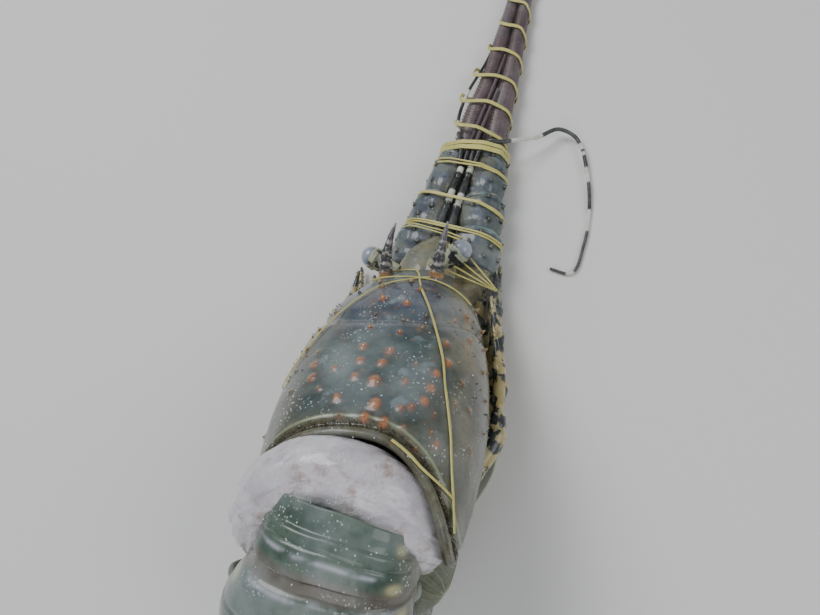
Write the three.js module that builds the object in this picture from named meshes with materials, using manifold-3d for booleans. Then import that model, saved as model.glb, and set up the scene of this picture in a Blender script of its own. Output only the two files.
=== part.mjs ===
// Ornate spiny lobster, life size, tied up and frozen: head low, tail curled under, legs and
// feelers drawn forward. Millimetres, +Z up, +Y towards the head, +X to the animal's right.
// The origin lies on the floor under the rear ridge of the carapace.
import * as THREE from 'three';
import { mergeVertices } from 'three/addons/utils/BufferGeometryUtils.js';
import Module from 'manifold-3d';

const wasm = await Module();
wasm.setup();

// Driving sizes of the whole animal
const GAP = 0.3;
const RIDGE_HEIGHT = 104;
const HEAD_DOWN = THREE.MathUtils.degToRad(29.5);
const CARAPACE = { front: 118, lobe: 25, leftLobe: 15, rimWall: 3.5, cupDepth: 6 };
const TAIL = { centreY: -24, centreZ: 54, reach: 62, rise: 54, first: 91, last: 268 };
const FLAGELLUM = { start: 181, middle: 300, end: 540 };
const TIE = { width: 2, thickness: 0.7 };

const COLOUR = {
  shell: '#3f5a60', shellPale: '#8d9a78', horn: '#4a4641', eye: '#8f9aa8', leg: '#b3a566',
  antenna: '#5d6c74', flagellum: '#54474a', antennule: '#2b2a2a', membrane: '#cfc6cf',
  tail: '#55705f', fan: '#5f6f58', tie: '#d9cf83', leaf: '#7d846a',
};

const v3 = (x, y, z) => new THREE.Vector3(x, y, z);
const lerp = THREE.MathUtils.lerp;

// The body frame has its origin on the carapace's rear ridge, y to the head and z to the back.
const bodyMatrix = new THREE.Matrix4().makeRotationX(-HEAD_DOWN).setPosition(0, 0, RIDGE_HEIGHT);
const fromBody = (x, y, z) => v3(x, y, z).applyMatrix4(bodyMatrix);

// A smooth size that runs through the values at the stations.
function profile(stations, values) {
  const curve = new THREE.CubicInterpolant(stations, values, 1);
  const first = stations[0];
  const last = stations[stations.length - 1];
  return (s) => curve.evaluate(THREE.MathUtils.clamp(s, first, last))[0];
}

function signedVolume(points, faces) {
  let sum = 0;
  const [a, b, c] = [v3(), v3(), v3()];
  for (let i = 0; i < faces.length; i += 3) {
    a.fromArray(points, faces[i] * 3);
    b.fromArray(points, faces[i + 1] * 3);
    c.fromArray(points, faces[i + 2] * 3);
    sum += a.dot(b.cross(c));
  }
  return sum;
}

// A solid from points and faces, turned so that the faces point out.
function solid(points, faces) {
  const triVerts = Uint32Array.from(faces);
  if (signedVolume(points, faces) < 0) triVerts.reverse();
  const vertProperties = Float32Array.from(points);
  return new wasm.Manifold(new wasm.Mesh({ numProp: 3, vertProperties, triVerts }));
}

function solidOf(geometry) {
  const bare = geometry.clone();
  bare.deleteAttribute('normal');
  bare.deleteAttribute('uv');
  const merged = mergeVertices(bare, 1e-4);
  return solid(merged.attributes.position.array, merged.index.array);
}

// A closed skin over rings of equal counts, with a fan over each end.
function loft(rings) {
  const count = rings[0].length;
  const points = rings.flat().flatMap((p) => p.toArray());
  const faces = [];
  for (let r = 0; r < rings.length - 1; r += 1) {
    for (let i = 0; i < count; i += 1) {
      const a = r * count + i;
      const b = r * count + ((i + 1) % count);
      faces.push(a, b, b + count, a, b + count, a + count);
    }
  }
  for (const [ring, start] of [[rings[0], 0], [rings[rings.length - 1], (rings.length - 1) * count]]) {
    const middle = points.length / 3;
    const centre = ring.reduce((sum, p) => sum.add(p), v3()).divideScalar(count);
    points.push(...centre.toArray());
    for (let i = 0; i < count; i += 1) {
      const a = start + i;
      const b = start + ((i + 1) % count);
      if (start === 0) faces.push(b, a, middle);
      else faces.push(a, b, middle);
    }
  }
  return solid(points, faces);
}

// A limb along a line of points. Each point has a radius across and a radius upwards.
function limb(line, across, upward, sides, up = v3(0, 0, 1)) {
  const rings = line.map((point, i) => {
    const before = line[Math.max(i - 1, 0)];
    const after = line[Math.min(i + 1, line.length - 1)];
    const ahead = after.clone().sub(before).normalize();
    const side = v3().crossVectors(ahead, up).normalize();
    const top = v3().crossVectors(side, ahead);
    return Array.from({ length: sides }, (_, k) => {
      const turn = ((k + 0.5) / sides) * 2 * Math.PI;
      return point.clone()
        .addScaledVector(side, across[i] * Math.cos(turn))
        .addScaledVector(top, upward[i] * Math.sin(turn));
    });
  });
  return loft(rings);
}

// The same solid swollen by a small distance, to cut a neighbour clear of it. Corners move along
// the mean of their faces, so the distance is a little more than the gap that it leaves.
const SWELL = GAP * 1.35;
function swollen(body, distance = SWELL) {
  const mesh = body.getMesh();
  const points = mesh.vertProperties;
  const faces = mesh.triVerts;
  const normals = Array.from({ length: points.length / 3 }, () => v3());
  const corner = [v3(), v3(), v3()];
  for (let i = 0; i < faces.length; i += 3) {
    corner.forEach((c, k) => c.fromArray(points, faces[i + k] * 3));
    const normal = corner[1].clone().sub(corner[0]).cross(corner[2].clone().sub(corner[0]));
    normal.normalize();
    for (let k = 0; k < 3; k += 1) {
      const one = corner[(k + 1) % 3].clone().sub(corner[k]);
      const two = corner[(k + 2) % 3].clone().sub(corner[k]);
      normals[faces[i + k]].addScaledVector(normal, one.angleTo(two));
    }
  }
  const moved = Float32Array.from(points);
  normals.forEach((normal, k) => {
    normal.normalize();
    for (let axis = 0; axis < 3; axis += 1) {
      moved[k * 3 + axis] += normal.getComponent(axis) * distance;
    }
  });
  return new wasm.Manifold(new wasm.Mesh({ numProp: 3, vertProperties: moved, triVerts: faces }));
}

const joined = (...bodies) => wasm.Manifold.union(bodies);

// Seeded draws, so that every build gives the same animal
let seed = 7;
function draw(low, high) {
  seed = (seed * 16807) % 2147483647;
  return lerp(low, high, seed / 2147483647);
}

// A five-sided spine set on a surface, its root sunk in by half its height
function spine(base, direction, radius, height) {
  const cone = new THREE.ConeGeometry(radius, height * 1.5, 5);
  cone.translate(0, height * 0.25, 0);
  const turn = new THREE.Quaternion().setFromUnitVectors(v3(0, 1, 0), direction.clone().normalize());
  cone.applyQuaternion(turn);
  cone.translate(base.x, base.y, base.z);
  return solidOf(cone);
}

// What is left of a body after cuts: its largest closed surface, above the floor.
const slab = solidOf(new THREE.BoxGeometry(2000, 2000, 100).translate(0, 0, -50));
function finished(body) {
  const pieces = body.subtract(slab).decompose();
  return pieces.reduce((best, piece) => (piece.volume() > best.volume() ? piece : best));
}

// Nested groups of the scene
const lobster = new THREE.Group();
const groups = {};
for (const name of ['thorax', 'head', 'antennae', 'antennules', 'legs', 'tail', 'ties']) {
  groups[name] = new THREE.Group();
  lobster.add(groups[name]);
}

// Puts a body into its group, cut clear of all that is placed before it, with the mesh's place
// at the point it grows from.
const placed = [];
const boxOf = (body) => {
  const { min, max } = body.boundingBox();
  return new THREE.Box3(v3(...min), v3(...max));
};
function place(group, name, body, colour, root, roughness = 0.45) {
  const room = boxOf(body).expandByScalar(SWELL);
  const near = placed.filter((other) => other.box.intersectsBox(room));
  const cut = finished(near.reduce((rest, other) => rest.subtract(other.swollen), body));
  placed.push({ box: boxOf(cut), swollen: swollen(body).add(body) });
  const mesh = cut.getMesh();
  const geometry = new THREE.BufferGeometry();
  geometry.setAttribute('position', new THREE.BufferAttribute(mesh.vertProperties, 3));
  geometry.setIndex(new THREE.BufferAttribute(mesh.triVerts, 1));
  geometry.translate(-root.x, -root.y, -root.z);
  const material = new THREE.MeshStandardMaterial({ color: colour, roughness, metalness: 0 });
  const node = new THREE.Mesh(geometry, material);
  node.name = name;
  node.position.copy(root);
  groups[group].add(node);
  return cut;
}

// Carapace: a barrel with a groove across the neck, rear lobes and a cup for the tail's root
const PROFILE_Y = [-25, 0, 25, 50, 75, 100, 118];
const halfWidth = profile(PROFILE_Y, [38, 42, 44, 43, 39, 32, 25]);
const backHeight = profile(PROFILE_Y, [-2, 0, 3, 4, 2, -5, -13]);
const bellyHeight = profile(PROFILE_Y, [-66, -66, -66, -64, -60, -56, -52]);
const RING_COUNT = 32;
const SQUARENESS = 0.86;

const rounded = (value, power) => Math.sign(value) * Math.abs(value) ** power;

// The rear margin lies at y 0 on the back and runs rearwards on the flanks.
function rearMargin(angle) {
  const down = Math.abs(Math.cos(angle));
  const belly = Math.sin(angle) < 0 ? 0.8 * Math.sin(angle) ** 2 : 0;
  const lobe = Math.cos(angle) > 0 ? CARAPACE.lobe : CARAPACE.leftLobe;
  return -lobe * (down ** 2.2) * (1 - belly);
}

function carapacePoint(y, angle, inset = 0) {
  const width = halfWidth(y) - inset;
  const middle = (backHeight(y) + bellyHeight(y)) / 2;
  const half = (backHeight(y) - bellyHeight(y)) / 2 - inset;
  return v3(
    width * rounded(Math.cos(angle), SQUARENESS),
    y,
    middle + half * rounded(Math.sin(angle), SQUARENESS),
  );
}

// The groove across the back runs forward on the flanks.
function neckGroove(y, angle) {
  const line = 60 + 16 * Math.cos(angle) ** 2;
  return 1.8 * Math.exp(-(((y - line) / 4) ** 2));
}

function carapaceRings() {
  const steps = [0, 2.5, 6, 9, 17, 27, 38, 48, 55, 61, 67, 74, 82, 91, 100, 109, CARAPACE.front];
  const ring = (at) => Array.from({ length: RING_COUNT }, (_, k) => at((k / RING_COUNT) * 2 * Math.PI));
  const hairGroove = [0, 0.4, 1.8, 0.2];
  const rings = steps.map((step, i) => ring((angle) => {
    const along = step / CARAPACE.front;
    const y = lerp(rearMargin(angle), CARAPACE.front, along);
    return carapacePoint(y, angle, (hairGroove[i] ?? 0) + neckGroove(y, angle));
  }));
  const rim = ring((angle) => carapacePoint(rearMargin(angle), angle, CARAPACE.rimWall));
  const throat = ring((angle) => carapacePoint(CARAPACE.cupDepth, angle, CARAPACE.rimWall * 2));
  return [throat, rim, ...rings];
}

const inBody = (ring) => ring.map((point) => point.applyMatrix4(bodyMatrix));

// Breastplate under the body, between the leg roots
const STERNUM = { rear: 12, front: 86, top: 8, mouth: 26 };
function sternumRings(halfFront, halfRear, depth, extra) {
  const ring = (y, half) => {
    const base = bellyHeight(y);
    const top = STERNUM.top + extra;
    const corners = [[half, -depth], [half, top], [-half, top], [-half, -depth]];
    return corners.map(([x, z]) => v3(x, y, base + z));
  };
  const rear = STERNUM.rear - extra * 3;
  const front = STERNUM.front + extra * STERNUM.mouth;
  return [rear, lerp(rear, front, 0.35), lerp(rear, front, 0.7), front]
    .map((y, i) => inBody(ring(y, lerp(halfRear, halfFront, i / 3))));
}
const STERNUM_HALF = { front: 9, rear: 19 };
const CHANNEL_HALF = { front: 20, rear: 25 };
const CHANNEL_DEPTH = 20;
const sternum = loft(sternumRings(STERNUM_HALF.front, STERNUM_HALF.rear, 1, 0));
const legChannel = loft(sternumRings(CHANNEL_HALF.front, CHANNEL_HALF.rear, CHANNEL_DEPTH, 1));

// Strings over the back: y along the body and angle round the barrel at each place
const STRINGS = [
  [[104, 82], [86, 76], [70, 68], [55, 61], [40, 54], [26, 49], [10, 40], [-3, 32], [-13, 22], [-20, 12]],
  [[-1.5, 70], [-5, 60], [-8.5, 50], [-10.5, 38], [-11.5, 24]],
  [[100, 118], [99.5, 100], [98.5, 82], [97, 65], [94, 47], [90, 30]],
  [[101, 72], [95, 86], [88, 99], [79, 107], [70, 114], [58, 123], [44, 134], [30, 146]],
];
const STRING = { width: 1.6, thickness: 0.6, clear: 0.6 };
const deg = THREE.MathUtils.degToRad;
const stringLines = STRINGS.map((places) => {
  const curve = new THREE.CatmullRomCurve3(places.map(([y, turn]) => v3(y, turn, 0)), false, 'centripetal');
  return curve.getPoints(Math.ceil(places.length * 1.6));
});
const onBarrel = (y, turn, high = 0) => carapacePoint(y, deg(turn), neckGroove(y, deg(turn)) - high);

// Spines in staggered rows on the back, small at the rear and tall towards the head
const SPINES = {
  firstRow: 9, rowStep: 9.3, rows: 10, turnStep: 16, perSide: 4,
  low: 1.7, high: 4.2, lean: 0.45, keepOff: 3.6,
};
function carapaceSpines() {
  const marks = stringLines.flat().map((p) => onBarrel(p.x, p.y));
  const spines = [];
  for (let row = 0; row < SPINES.rows; row += 1) {
    for (let k = -SPINES.perSide; k <= SPINES.perSide; k += 1) {
      const shift = row % 2 ? 0.5 : 0;
      const turn = 90 - (k + shift) * SPINES.turnStep + draw(-2.5, 2.5);
      const y = SPINES.firstRow + row * SPINES.rowStep + draw(-1.6, 1.6);
      const height = lerp(SPINES.low, SPINES.high, (row / SPINES.rows) ** 1.5) * draw(0.85, 1.15);
      const base = onBarrel(y, turn);
      const out = onBarrel(y, turn, 2).sub(base).normalize();
      const free = marks.every((mark) => mark.distanceTo(base) > SPINES.keepOff);
      const body = spine(base, out.add(v3(0, SPINES.lean, 0)), height * 0.42 + 0.5, height);
      if (free) spines.push(body);
    }
  }
  return spines;
}
const inFrame = (body) => {
  const mesh = body.getMesh();
  const points = new THREE.BufferAttribute(mesh.vertProperties, 3).applyMatrix4(bodyMatrix).array;
  return new wasm.Manifold(new wasm.Mesh({ numProp: 3, vertProperties: points, triVerts: mesh.triVerts }));
};
const carapaceShell = joined(loft(carapaceRings()), ...carapaceSpines());
const carapace = finished(inFrame(carapaceShell).subtract(legChannel));

// Head: the block below the eyes, which carries the feelers and touches the floor
const HEAD = { rear: 84, front: 104, halfWidth: [24, 27], halfHeight: [15, 12], shift: 11 };
const HEAD_SIDES = 16;
const headBlock = (() => {
  const rings = [];
  for (const step of [0, 0.25, 0.5, 0.75, 1]) {
    const y = lerp(HEAD.rear, HEAD.front, step);
    const width = lerp(HEAD.halfWidth[0], HEAD.halfWidth[1], step);
    const shift = lerp(0, HEAD.shift, step);
    const high = lerp(HEAD.halfHeight[0], HEAD.halfHeight[1], step);
    rings.push(Array.from({ length: HEAD_SIDES }, (_, k) => {
      const turn = ((k + 0.5) / HEAD_SIDES) * 2 * Math.PI;
      return v3(
        shift + width * rounded(Math.cos(turn), 0.7),
        y,
        high - 0.7 + high * rounded(Math.sin(turn), 0.7),
      );
    }));
  }
  return loft(rings);
})();

// Antennae: three thick joints each, side by side, drawn to the right by the ties
const ANTENNA_ROOTS = { left: v3(-8, 104.5, 15.5), right: v3(25, 103, 15.5) };
const ANTENNA_TIPS = { left: v3(12.5, 180, 11.5), right: v3(31.5, 178, 11.5) };
const JOINTS = [
  { name: 'base', from: 0, to: 0.3, wide: [13, 13.3, 12.6], high: [13, 13, 12.2] },
  { name: 'middle', from: 0.3, to: 0.6, wide: [11.8, 12, 10.9], high: [11.4, 11.6, 10.6] },
  { name: 'tip', from: 0.6, to: 1, wide: [10.3, 10.2, 8.9], high: [10, 10, 8.6] },
];
const JOINT_SPINES = { count: 5, centre: { left: 125, right: 55 }, radius: 1.7, low: 2.6, high: 3.6 };
const antennaJoints = {};
for (const side of ['left', 'right']) {
  const root = ANTENNA_ROOTS[side];
  const tip = ANTENNA_TIPS[side];
  const ahead = tip.clone().sub(root).normalize();
  for (const joint of JOINTS) {
    const from = root.clone().lerp(tip, joint.from).addScaledVector(ahead, GAP / 2);
    const to = root.clone().lerp(tip, joint.to).addScaledVector(ahead, -GAP / 2);
    const line = [0, 0.12, 0.5, 0.88, 1].map((s) => from.clone().lerp(to, s));
    const bulge = [0.86, 1, 1, 1.02, 0.9];
    const wide = [0, 0, 1, 2, 2].map((k, i) => joint.wide[k] * bulge[i]);
    const high = [0, 0, 1, 2, 2].map((k, i) => joint.high[k] * bulge[i]);
    const centre = JOINT_SPINES.centre[side];
    const spines = Array.from({ length: JOINT_SPINES.count }, (_, i) => {
      const turn = deg(centre + ((i % 3) - 1) * 38 + draw(-8, 8));
      const along = (i + 0.7) / (JOINT_SPINES.count + 0.6);
      const out = v3(Math.cos(turn), 0, Math.sin(turn));
      const base = from.clone().lerp(to, along).add(v3(wide[2] * out.x * 0.96, 0, high[2] * out.z * 0.96));
      const height = draw(JOINT_SPINES.low, JOINT_SPINES.high);
      return spine(base, out.add(v3(0, 0.7, 0)), JOINT_SPINES.radius, height);
    });
    const body = joined(limb(line, wide, high, 16), ...spines);
    antennaJoints[`${side}_${joint.name}`] = { body, root: from };
  }
}

// Flagella: two long tapering whips lying side by side
const bundleX = profile([181, 212, 228, 264, 294, 360, 440, 540], [23.5, 28, 31.5, 37, 41.5, 49, 56, 62]);
const whipRadius = profile([181, 212, 228, 264, 294, 360, 440, 540], [7.7, 6.8, 6, 4.8, 3.9, 3, 2.2, 1.1]);
const LIFT = 1.7;
function whipPoint(side, y) {
  const radius = whipRadius(y);
  const away = side === 'left' ? -1 : 1;
  const lift = LIFT * THREE.MathUtils.smoothstep(-y, -470, -400);
  return v3(bundleX(y) + away * (radius + GAP), y, radius + lift - 0.15 * (1 - lift / LIFT));
}
function whip(side, from, to, steps) {
  const line = Array.from({ length: steps + 1 }, (_, i) => whipPoint(side, lerp(from, to, i / steps)));
  const radii = line.map((point) => whipRadius(point.y));
  return limb(line, radii, radii, 10);
}

// Eyes on short stalks, beside the horns
const EYE = { radius: 5.4, left: v3(-23.5, 103.5, 35), right: v3(23, 106.5, 35) };
const STALK_ROOT = { left: v3(-10, 97, 31), right: v3(10, 98, 31) };
function eyeBody(side) {
  const ball = solidOf(new THREE.SphereGeometry(EYE.radius, 12, 8).translate(...EYE[side].toArray()));
  const line = [0, 0.4, 0.8].map((s) => STALK_ROOT[side].clone().lerp(EYE[side], s));
  return joined(ball, limb(line, [3.2, 3.4, 4], [3, 3.2, 3.8], 8));
}

// Horns over the eyes: thick at the root, curving up and forward to a point
function hornBody(side) {
  const away = side === 'left' ? -1 : 1;
  const root = fromBody(12.5 * away, 107, -12);
  const middle = root.clone().add(v3(1.5 * away + 1.5, 13, 8));
  const tip = root.clone().add(v3(0.5 * away + 5, 27, 9));
  const curve = new THREE.QuadraticBezierCurve3(root, middle, tip);
  const line = curve.getPoints(6);
  const radii = [4.2, 4, 3.6, 3, 2.3, 1.5, 0.5];
  return { body: limb(line, radii, radii, 8), root };
}
const horns = { left: hornBody('left'), right: hornBody('right') };

// Legs: five pairs drawn forward along the flanks, last pair highest
const LEGS = [
  { root: 84, knee: v3(28, 76, 5.6), wrist: v3(29, 92, 5.2), toe: v3(31, 107, 4.6), thick: 5.2 },
  { root: 68, knee: v3(36, 66, 6.2), wrist: v3(37, 88, 5.4), toe: v3(39, 112, 5), thick: 4.8 },
  { root: 52, knee: v3(40, 52, 14.8), wrist: v3(39, 82, 14.2), toe: v3(37.5, 106, 13), thick: 4.7 },
  { root: 36, knee: v3(43.5, 38, 23.8), wrist: v3(41.5, 66, 23), toe: v3(37, 88, 22), thick: 4.5 },
  { root: 20, knee: v3(45, 14, 33.5), wrist: v3(44.5, 44, 32.5), toe: v3(40, 70, 31), thick: 4.2 },
];
const LEG_SIDES = 7;
function legBody(leg, away) {
  const mirror = (p) => v3(p.x * away, p.y, p.z);
  const root = fromBody(19.6 * away, leg.root, bellyHeight(leg.root) + 3);
  const out = root.clone().add(v3(8 * away, -1, -2.5));
  const knee = mirror(leg.knee);
  const wrist = mirror(leg.wrist);
  const toe = mirror(leg.toe);
  const thigh = out.clone().lerp(knee, 0.55);
  const line = [
    root, out, thigh, knee.clone().lerp(thigh, 0.2), knee.clone().lerp(wrist, 0.12),
    knee.clone().lerp(wrist, 0.3), knee.clone().lerp(wrist, 0.88), wrist.clone().lerp(toe, 0.06),
    wrist.clone().lerp(toe, 0.2), toe,
  ];
  const scale = [1.05, 0.95, 1.05, 1, 1.02, 0.78, 0.68, 0.7, 0.56, 0.14];
  const radii = scale.map((s) => s * leg.thick);
  return { body: limb(line, radii, radii, LEG_SIDES), root };
}

// Tail: six rings curled under, each with a raised plate and pointed side lobes
const TAIL_LENGTHS = [24, 34, 34, 32, 28, 26];
const thicknessAt = profile([95, 150, 200, 235, 268], [42, 41, 36, 31, 25]);
const tailHalfWidth = profile([95, 108, 122, 135, 180, 225, 268], [25, 26, 33, 35, 33, 29, 25]);
const tailSway = profile([95, 108, 135, 180, 225, 268], [-2, -4, -12, -15, -9, -3]);
const tailAngles = (() => {
  const total = TAIL_LENGTHS.reduce((a, b) => a + b, 0);
  let run = 0;
  return [0, ...TAIL_LENGTHS.map((length) => (run += length) / total)]
    .map((part) => lerp(TAIL.first, TAIL.last, part));
})();

// A point of the tail at a polar angle, with a depth below the back and a nudge along the tail
function tailPoint(across, degrees, depth, nudge = 0) {
  const angle = deg(degrees);
  const x = across + tailSway(degrees);
  const y = TAIL.centreY + (TAIL.reach - depth) * Math.cos(angle) - nudge * Math.sin(angle);
  const z = TAIL.centreZ + (TAIL.rise - depth) * Math.sin(angle) + nudge * Math.cos(angle);
  return v3(x, y, z);
}
const TAIL_RING = 20;

// The first rings sit askew, the left end of each further forward than the right.
const SLANT = { most: 7, until: 200 };
function tailSlant(degrees) {
  const left = (SLANT.until - degrees) / (SLANT.until - TAIL.first);
  return SLANT.most * Math.max(0, left);
}
function tailRing(middle, raise, nudge, slant) {
  return Array.from({ length: TAIL_RING }, (_, k) => {
    const turn = (k / TAIL_RING) * 2 * Math.PI;
    const degrees = middle + slant * Math.cos(turn);
    const half = thicknessAt(degrees) / 2;
    const width = tailHalfWidth(degrees);
    const up = Math.sin(turn);
    const lift = up > -0.2 ? raise : 0;
    const x = (width + lift * 0.8) * rounded(Math.cos(turn), 0.8);
    return tailPoint(x, degrees, half - (half + lift) * rounded(up, 0.85), nudge);
  });
}
// Each ring ends in a hooked lobe on either side.
const HOOK = { across: [2.4, 1.6, 0.5], upward: [5, 3.2, 0.8], sides: 6 };
const tailSegments = [];
for (let i = 0; i < 6; i += 1) {
  const from = tailAngles[i];
  const to = tailAngles[i + 1];
  const stations = [[0, -0.4], [0.38, -0.4], [0.44, 0.8], [0.7, 1.1], [0.97, 1.3], [1, 0.6]];
  const rings = stations.map(([part, raise]) => {
    const nudge = part === 0 ? GAP / 2 : part === 1 ? -GAP / 2 : 0;
    return tailRing(lerp(from, to, part), raise, nudge, tailSlant(from));
  });
  let body = loft(rings);
  for (const away of [-1, 1]) {
    const middle = lerp(from, to, 0.62);
    const width = tailHalfWidth(middle);
    const depth = thicknessAt(middle) * 0.55;
    const root = tailPoint(away * (width - 5), middle, depth * 0.8);
    const bend = tailPoint(away * (width + 0.8), middle, depth * 1.15);
    const tip = tailPoint(away * width, lerp(from, to, 0.85), depth * 1.55);
    body = body.add(limb([root, bend, tip], HOOK.across, HOOK.upward, HOOK.sides, v3(0, 0.3, 1)));
  }
  tailSegments.push(body);
}

// The swollen pale skin between carapace and tail: an arched roll that hugs the first ring
const ROLL_LINE = [
  v3(-33, -43, 67), v3(-37, -35, 78), v3(-34.5, -26, 88), v3(-26, -18, 94), v3(-13, -13, 96.5),
  v3(-1, -13.5, 96.5), v3(10, -17, 94.5), v3(19, -23.5, 89), v3(24, -31.5, 80), v3(23, -40, 69),
];
const ROLL_STEPS = 13;
const ROLL_SIDES = 10;
const rollRadius = [5, 9.8, 11.2, 11.6, 11.8, 11.8, 11.8, 11.6, 10.6, 5.5];
const roll = (() => {
  const curve = new THREE.CatmullRomCurve3(ROLL_LINE, false, 'centripetal');
  const radius = profile(rollRadius.map((_, i) => i / 9), rollRadius);
  const line = Array.from({ length: ROLL_STEPS + 1 }, (_, i) => curve.getPoint(i / ROLL_STEPS));
  const radii = line.map((_, i) => radius(i / ROLL_STEPS));
  return limb(line, radii, radii, ROLL_SIDES, v3(0, 1, 0.5));
})();

// Tail fan on the floor, folded forward below the body
const FAN = { rootY: -25, length: 50, thickness: 2.4 };
function fanPlate(rootX, tipX, width, level, length) {
  const height = level + FAN.thickness / 2;
  const line = [0, 0.35, 0.8, 1].map((s) => v3(lerp(rootX, tipX, s), FAN.rootY + length * s, height));
  const across = [0.55, 0.9, 1, 0.7].map((s) => (s * width) / 2);
  return limb(line, across, [1, 1, 1, 0.7].map((s) => (s * FAN.thickness) / 2), 8);
}

// Swimming leaves on the inside of the tail's curl
const LEAF_HALF_THICKNESS = 0.55;
function leaf(root, tip, width, tilt) {
  const line = [0, 0.25, 0.6, 0.9, 1].map((s) => root.clone().lerp(tip, s));
  const across = [0.35, 0.85, 1, 0.6, 0.2].map((s) => (s * width) / 2);
  return limb(line, across, across.map(() => LEAF_HALF_THICKNESS), 6, tilt);
}

// Feelers between the antennae: a jointed stem and two thin whips each
function thread(points, radius, steps, tipRadius = 0.5) {
  const curve = new THREE.CatmullRomCurve3(points, false, 'centripetal');
  const line = curve.getSpacedPoints(steps);
  const radii = line.map((_, i) => lerp(radius, tipRadius, i / steps));
  return limb(line, radii, radii, 6, v3(0, 0.1, 1));
}

const STEM_PATHS = {
  left: [v3(3.6, 103, 26), v3(9.5, 134, 23.6), v3(16.4, 165, 20.6)],
  right: [v3(11, 103, 26), v3(15.6, 134, 23.6), v3(21.9, 165, 20.6)],
};
const WHIP_PATHS = {
  left_outer: [v3(15.2, 166, 21.6), v3(15.6, 180, 21.4), v3(12.8, 190, 18.5), v3(11.2, 203, 14.5),
    v3(15.2, 225, 11.6), v3(22.6, 244, 9.6), v3(28.6, 262, 8)],
  left_inner: [v3(17.8, 166, 21.6), v3(20.6, 180, 21.2), v3(24.4, 200, 17.5), v3(29.8, 222, 15),
    v3(36, 250, 12)],
  right_inner: [v3(21, 166, 21.6), v3(23.6, 180, 21.4), v3(27.8, 200, 17.8), v3(33.2, 222, 15.2)],
  right_outer: [v3(23.4, 166, 21.6), v3(28.4, 178, 22.4), v3(40.3, 183, 17.6), v3(56.8, 190.4, 10),
    v3(68.8, 197, 7), v3(77, 193, 5), v3(81.5, 184.3, 3.6)],
  right_loop: [v3(81.8, 183.8, 3.5), v3(84.7, 160.6, 2.6), v3(84.7, 143.6, 1.6), v3(82.1, 126, 1.4),
    v3(75, 109, 1.4), v3(64.7, 112, 1.4)],
};
const STEM = { radius: 2.2, tip: 1.8, steps: 7 };
const THREAD = { radius: 1.3, tip: 0.75, step: 7 };
function threadBody(name) {
  const points = WHIP_PATHS[name];
  const length = new THREE.CatmullRomCurve3(points).getLength();
  const thin = name === 'right_outer' ? THREAD.radius * 0.85 : THREAD.tip;
  const thick = name === 'right_loop' ? THREAD.radius * 0.85 : THREAD.radius;
  return thread(points, thick, Math.ceil(length / THREAD.step), thin);
}

// Mouth limbs under the head: a pair of thick curved palps joined at the mouth
function mouthBody() {
  const palp = (away) => {
    const places = [[6, 51, 10.5], [7.5, 62, 6.5], [7, 66, 5], [5, 82, 3.2]];
    const line = places.map(([x, y, z]) => v3(x * away, y, z));
    return limb(line, [3.6, 3.8, 3.2, 1.6], [3.4, 3.4, 2.8, 1.6], 8);
  };
  const bridge = limb([v3(-7, 58, 8), v3(7, 58, 8)], [2.4, 2.4], [2.4, 2.4], 6, v3(0, 0, 1));
  return joined(palp(-1), palp(1), bridge);
}

// Where a plane cuts a body, as points on the plane's own two axes
function slicePoints(body, origin, normal, across, up) {
  const { vertProperties: points, triVerts: faces } = body.getMesh();
  const found = [];
  const [a, b] = [v3(), v3()];
  for (let i = 0; i < faces.length; i += 3) {
    for (let k = 0; k < 3; k += 1) {
      a.fromArray(points, faces[i + k] * 3).sub(origin);
      b.fromArray(points, faces[i + ((k + 1) % 3)] * 3).sub(origin);
      const [da, db] = [a.dot(normal), b.dot(normal)];
      if (da * db < 0) {
        const cross = a.clone().lerp(b, da / (da - db));
        found.push(new THREE.Vector2(cross.dot(across), cross.dot(up)));
      }
    }
  }
  return found;
}

// The outline of a thread drawn tight round the points, turning left
function tightOutline(points) {
  const sorted = [...points].sort((p, q) => p.x - q.x || p.y - q.y);
  const half = (list) => {
    const chain = [];
    for (const p of list) {
      while (chain.length > 1) {
        const [q, r] = [chain[chain.length - 2], chain[chain.length - 1]];
        if ((r.x - q.x) * (p.y - q.y) - (r.y - q.y) * (p.x - q.x) > 0) break;
        chain.pop();
      }
      chain.push(p);
    }
    chain.pop();
    return chain;
  };
  return [...half(sorted), ...half(sorted.reverse())];
}

// A flat band drawn tight round bodies, in the upright plane through two points
const BAND_CLEAR = 0.6;
const BAND_STEP = 3;
const SHORTEST_EDGE = 1.2;
function bandRound(bodies, left, right, width) {
  const across = right.clone().sub(left).setZ(0).normalize();
  const up = v3(0, 0, 1);
  const normal = v3().crossVectors(across, up);
  const cuts = [-0.5, 0, 0.5].flatMap((side) => bodies.flatMap((body) => {
    return slicePoints(body, left.clone().addScaledVector(normal, side * width), normal, across, up);
  }));
  const hull = tightOutline(cuts);
  const outline = hull.filter((p, i) => i === 0 || p.distanceTo(hull[i - 1]) > GAP);
  const points = [];
  outline.forEach((p, i) => {
    const next = outline[(i + 1) % outline.length];
    const edge = next.clone().sub(p);
    const out = new THREE.Vector2(edge.y, -edge.x).normalize();
    points.push({ at: p.clone().addScaledVector(out, BAND_CLEAR), out });
    if (edge.length() > BAND_STEP) points.push({ at: next.clone().addScaledVector(out, BAND_CLEAR), out });
  });
  const kept = points.filter((p, i) => i === 0 || p.at.distanceTo(points[i - 1].at) > SHORTEST_EDGE);
  const lift = (p, high, side) => left.clone()
    .addScaledVector(across, p.at.x + p.out.x * high)
    .addScaledVector(up, p.at.y + p.out.y * high)
    .addScaledVector(normal, side * width);
  return ringOf(kept.map((p) => [
    lift(p, 0, -0.5), lift(p, 0, 0.5), lift(p, TIE.thickness, 0.5), lift(p, TIE.thickness, -0.5),
  ]));
}

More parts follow.
